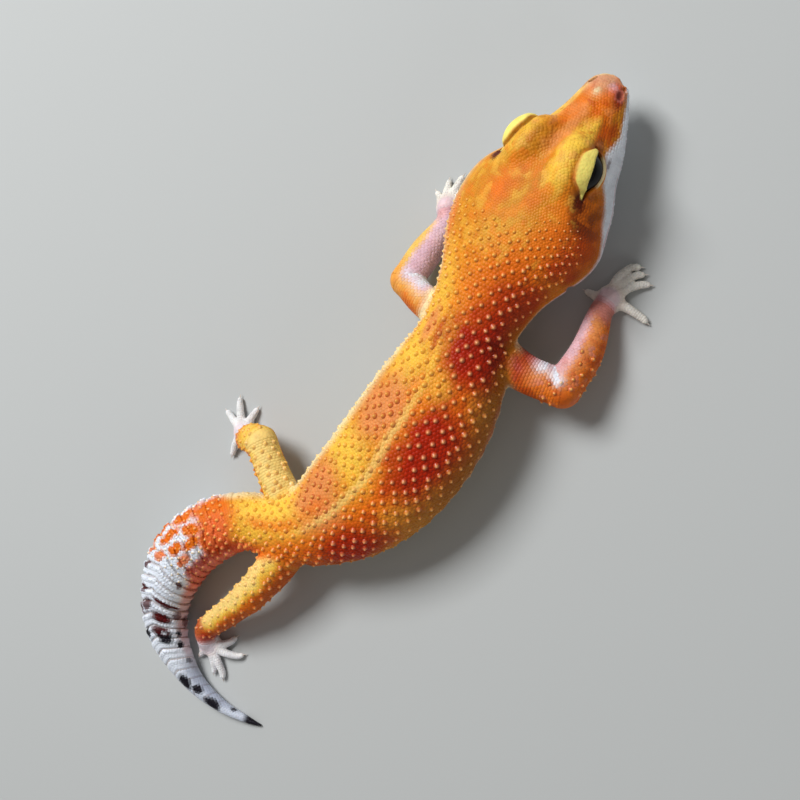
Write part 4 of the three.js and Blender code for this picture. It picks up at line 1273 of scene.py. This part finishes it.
# ---- Fine scales of the back ------------------------------------------------
# Between the tubercles lie small rounded granules, the same over the neck,
# back and flanks.
BACK_SCALE = 0.42
grains = rows_of_roots(ring_on_back, 34, 108, 0.62, 0.72, 14, BODY_STRIP, (-102, 102), jitter=0.12)
grains["size"] = np.full((len(grains["at"]), 1), BACK_SCALE) * [1, 1, 0.8]
coat("back_scales", grains, GRANULE, 0.15, skin_look("fine back scales", 0.46))

# ---- Scales of the belly ----------------------------------------------------
# Flat, smooth and six-sided, about a millimetre across, on the soft underside
# from the throat to the vent.
BELLY_SCALE = 0.52
plates = rows_of_roots(ring_on_back, 34, 108, 0.9, 1.0, 15, BODY_STRIP, jitter=0.05)
plates = kept(plates, np.abs(plates["about"]) > 101)
plates["size"] = np.full((len(plates["at"]), 1), BELLY_SCALE) * [1, 1, 1]
coat("belly_scales", plates, GRANULE, 0.12, skin_look("smooth belly scales", 0.44))

# ---- Scales of the tail -----------------------------------------------------
# Small flat scales in even rings, five rows to each fold of the tail.
links = rows_of_roots(
    ring_on_back, RING_START - 7.8 * RING, 166.5, RING / 5, 0.54, 16, BODY_STRIP,
    jitter=0.03, slant=RING_SLANT)
links = kept(links, links["along"] > 108)
grow = np.interp(links["along"], (150, 166), (0.38, 0.22))
links["size"] = grow[:, None] * [1, 1.0, 0.8]
coat("tail_scales", links, GRANULE, 0.1, skin_look("ringed tail scales", 0.44, uneven=0.05))

# ---- Scales of the legs and feet --------------------------------------------
# Fine granules wrap the legs in rows across them, and finer ones the toes.
LEG_SCALE, TOE_SCALE = 0.36, 0.28
leg_rows, toe_rows = [], []
for name, (upper, lower) in LIMBS.items():
    ring, end = ring_on_chain(np.concatenate([upper, lower[1:]]))
    leg_rows.append(off_the_body(rows_of_roots(ring, 1, end, 0.5, 0.8, 22, LEG_STRIPS[name], jitter=0.05)))
    for k, toe in enumerate(TOES[name]):
        ring, end = ring_on_chain(toe)
        strip = (LEG_STRIPS[name][0] + 0.023 * (k - 2), 0.25)
        toe_rows.append(rows_of_roots(ring, 0.6, end, 0.42, 0.5, 23 + k, strip, jitter=0.05))
leg_rows, toe_rows = joined_roots(leg_rows), joined_roots(toe_rows)
leg_rows["size"] = np.full((len(leg_rows["at"]), 1), LEG_SCALE) * [1.35, 0.85, 0.8]
toe_rows = kept(toe_rows, toe_rows["at"][:, 2] > 0.3)
toe_rows["size"] = np.full((len(toe_rows["at"]), 1), TOE_SCALE) * [1.1, 0.9, 0.8]
coat("leg_scales", leg_rows, GRANULE, 0.14, skin_look("fine leg scales", 0.46))
coat("toe_scales", toe_rows, GRANULE, 0.16, skin_look("fine toe scales", 0.46))

# ---- Claws ------------------------------------------------------------------
# One short curved claw of pale horn at the end of each toe, thicker at its
# root and bent down to the floor.
CLAW_SIDES, CLAW_RINGS = 8, 7
CLAW = {"reach": 1.5, "root": 0.30, "drop": 0.42, "sunk": 0.35, "lift": 0.12}
claw_points, claw_faces = [], []
for name in LEGS:
    for toe in TOES[name]:
        tip = toe[-1, :3]
        ahead_of_toe = unit((toe[-1, :3] - toe[-4, :3]) * [1, 1, 0])
        across = np.cross([0, 0, 1.0], ahead_of_toe)
        first = len(claw_points)
        for r in range(CLAW_RINGS):
            u = r / CLAW_RINGS
            middle = tip + ahead_of_toe * (CLAW["reach"] * u - CLAW["sunk"])
            middle = middle + [0, 0, CLAW["lift"] - CLAW["drop"] * u * u]
            for k in range(CLAW_SIDES):
                a = 2 * math.pi * k / CLAW_SIDES
                wide = CLAW["root"] * (1 - u) ** 0.75
                claw_points.append(middle + across * 0.8 * wide * math.cos(a)
                                   + np.array([0, 0, 1.0]) * wide * math.sin(a))
        claw_points.append(tip + ahead_of_toe * (CLAW["reach"] - CLAW["sunk"])
                           + [0, 0, CLAW["lift"] - CLAW["drop"]])
        claw_points.append(tip - ahead_of_toe * 0.4 + [0, 0, CLAW["lift"]])
        point, base = len(claw_points) - 2, len(claw_points) - 1
        for k in range(CLAW_SIDES):
            after = (k + 1) % CLAW_SIDES
            for r in range(CLAW_RINGS - 1):
                a, b = first + r * CLAW_SIDES + k, first + r * CLAW_SIDES + after
                claw_faces += [(a, b, b + CLAW_SIDES), (a, b + CLAW_SIDES, a + CLAW_SIDES)]
            last = first + (CLAW_RINGS - 1) * CLAW_SIDES
            claw_faces += [(last + k, last + after, point), (first + after, first + k, base)]
claws = mesh_piece("claws", np.array(claw_points), claw_faces)
look = bpy.data.materials.new("pale translucent horn")
look.use_nodes = True
look.node_tree.nodes["Principled BSDF"].inputs["Base Color"].default_value = linear("#DDD2C8")
look.node_tree.nodes["Principled BSDF"].inputs["Roughness"].default_value = 0.3
claws.data.materials.append(look)
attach(claws, "root")

# ---- Floor, light and camera ------------------------------------------------
# A plain pale floor, one large soft light high on the animal's left, a weak one
# opposite, and a camera above its right side, looking down.
mesh = bpy.data.meshes.new("floor")
mesh.from_pydata([(-2, -2, 0), (2, -2, 0), (2, 2, 0), (-2, 2, 0)], [], [(0, 1, 2, 3)])
floor = bpy.data.objects.new("floor", mesh)
bpy.context.collection.objects.link(floor)
look = bpy.data.materials.new("pale matt floor")
look.use_nodes = True
look.node_tree.nodes["Principled BSDF"].inputs["Base Color"].default_value = linear("#B9BCBC")
look.node_tree.nodes["Principled BSDF"].inputs["Roughness"].default_value = 0.9
mesh.materials.append(look)
ROOM_LIGHT = 0.225
LIGHTS = {"key": ((-0.41, 0.15, 0.58), 0.3, 5.6), "fill": ((0.62, -0.14, 0.28), 0.18, 0.35)}
for name, (place, size, power) in LIGHTS.items():
    light = bpy.data.lights.new(name, "AREA")
    light.energy = power
    light.size = size
    lamp = bpy.data.objects.new(name, light)
    lamp.location = place
    lamp.rotation_euler = (-Vector(place)).to_track_quat("-Z", "Y").to_euler()
    bpy.context.collection.objects.link(lamp)
world = bpy.data.worlds.new("room")
world.use_nodes = True
world.node_tree.nodes["Background"].inputs[0].default_value = linear("#F2F0EC")
world.node_tree.nodes["Background"].inputs[1].default_value = ROOM_LIGHT
bpy.context.scene.world = world
bpy.context.scene.view_settings.view_transform = "Standard"

CAMERA_TILT = math.radians(23.9)  # from straight down
CAMERA_FAR = 207
CAMERA_FIELD = 2 * math.atan(8 / 23)
to_side = np.array([0.814, 0.581, 0])
view_back = math.sin(CAMERA_TILT) * to_side + [0, 0, math.cos(CAMERA_TILT)]
view_up = np.array([-0.581, 0.814, 0])
view_right = np.cross(view_up, view_back)
lens = bpy.data.cameras.new("camera")
lens.lens_unit = "FOV"
lens.angle = CAMERA_FIELD
lens.clip_start = 0.001
camera = bpy.data.objects.new("camera", lens)
camera.matrix_world = Matrix(np.column_stack([view_right, view_up, view_back]).tolist()).to_4x4()
camera.matrix_world.translation = Vector((CAMERA_FAR * view_back - MIDDLE) * MM)
bpy.context.collection.objects.link(camera)
bpy.context.scene.camera = camera
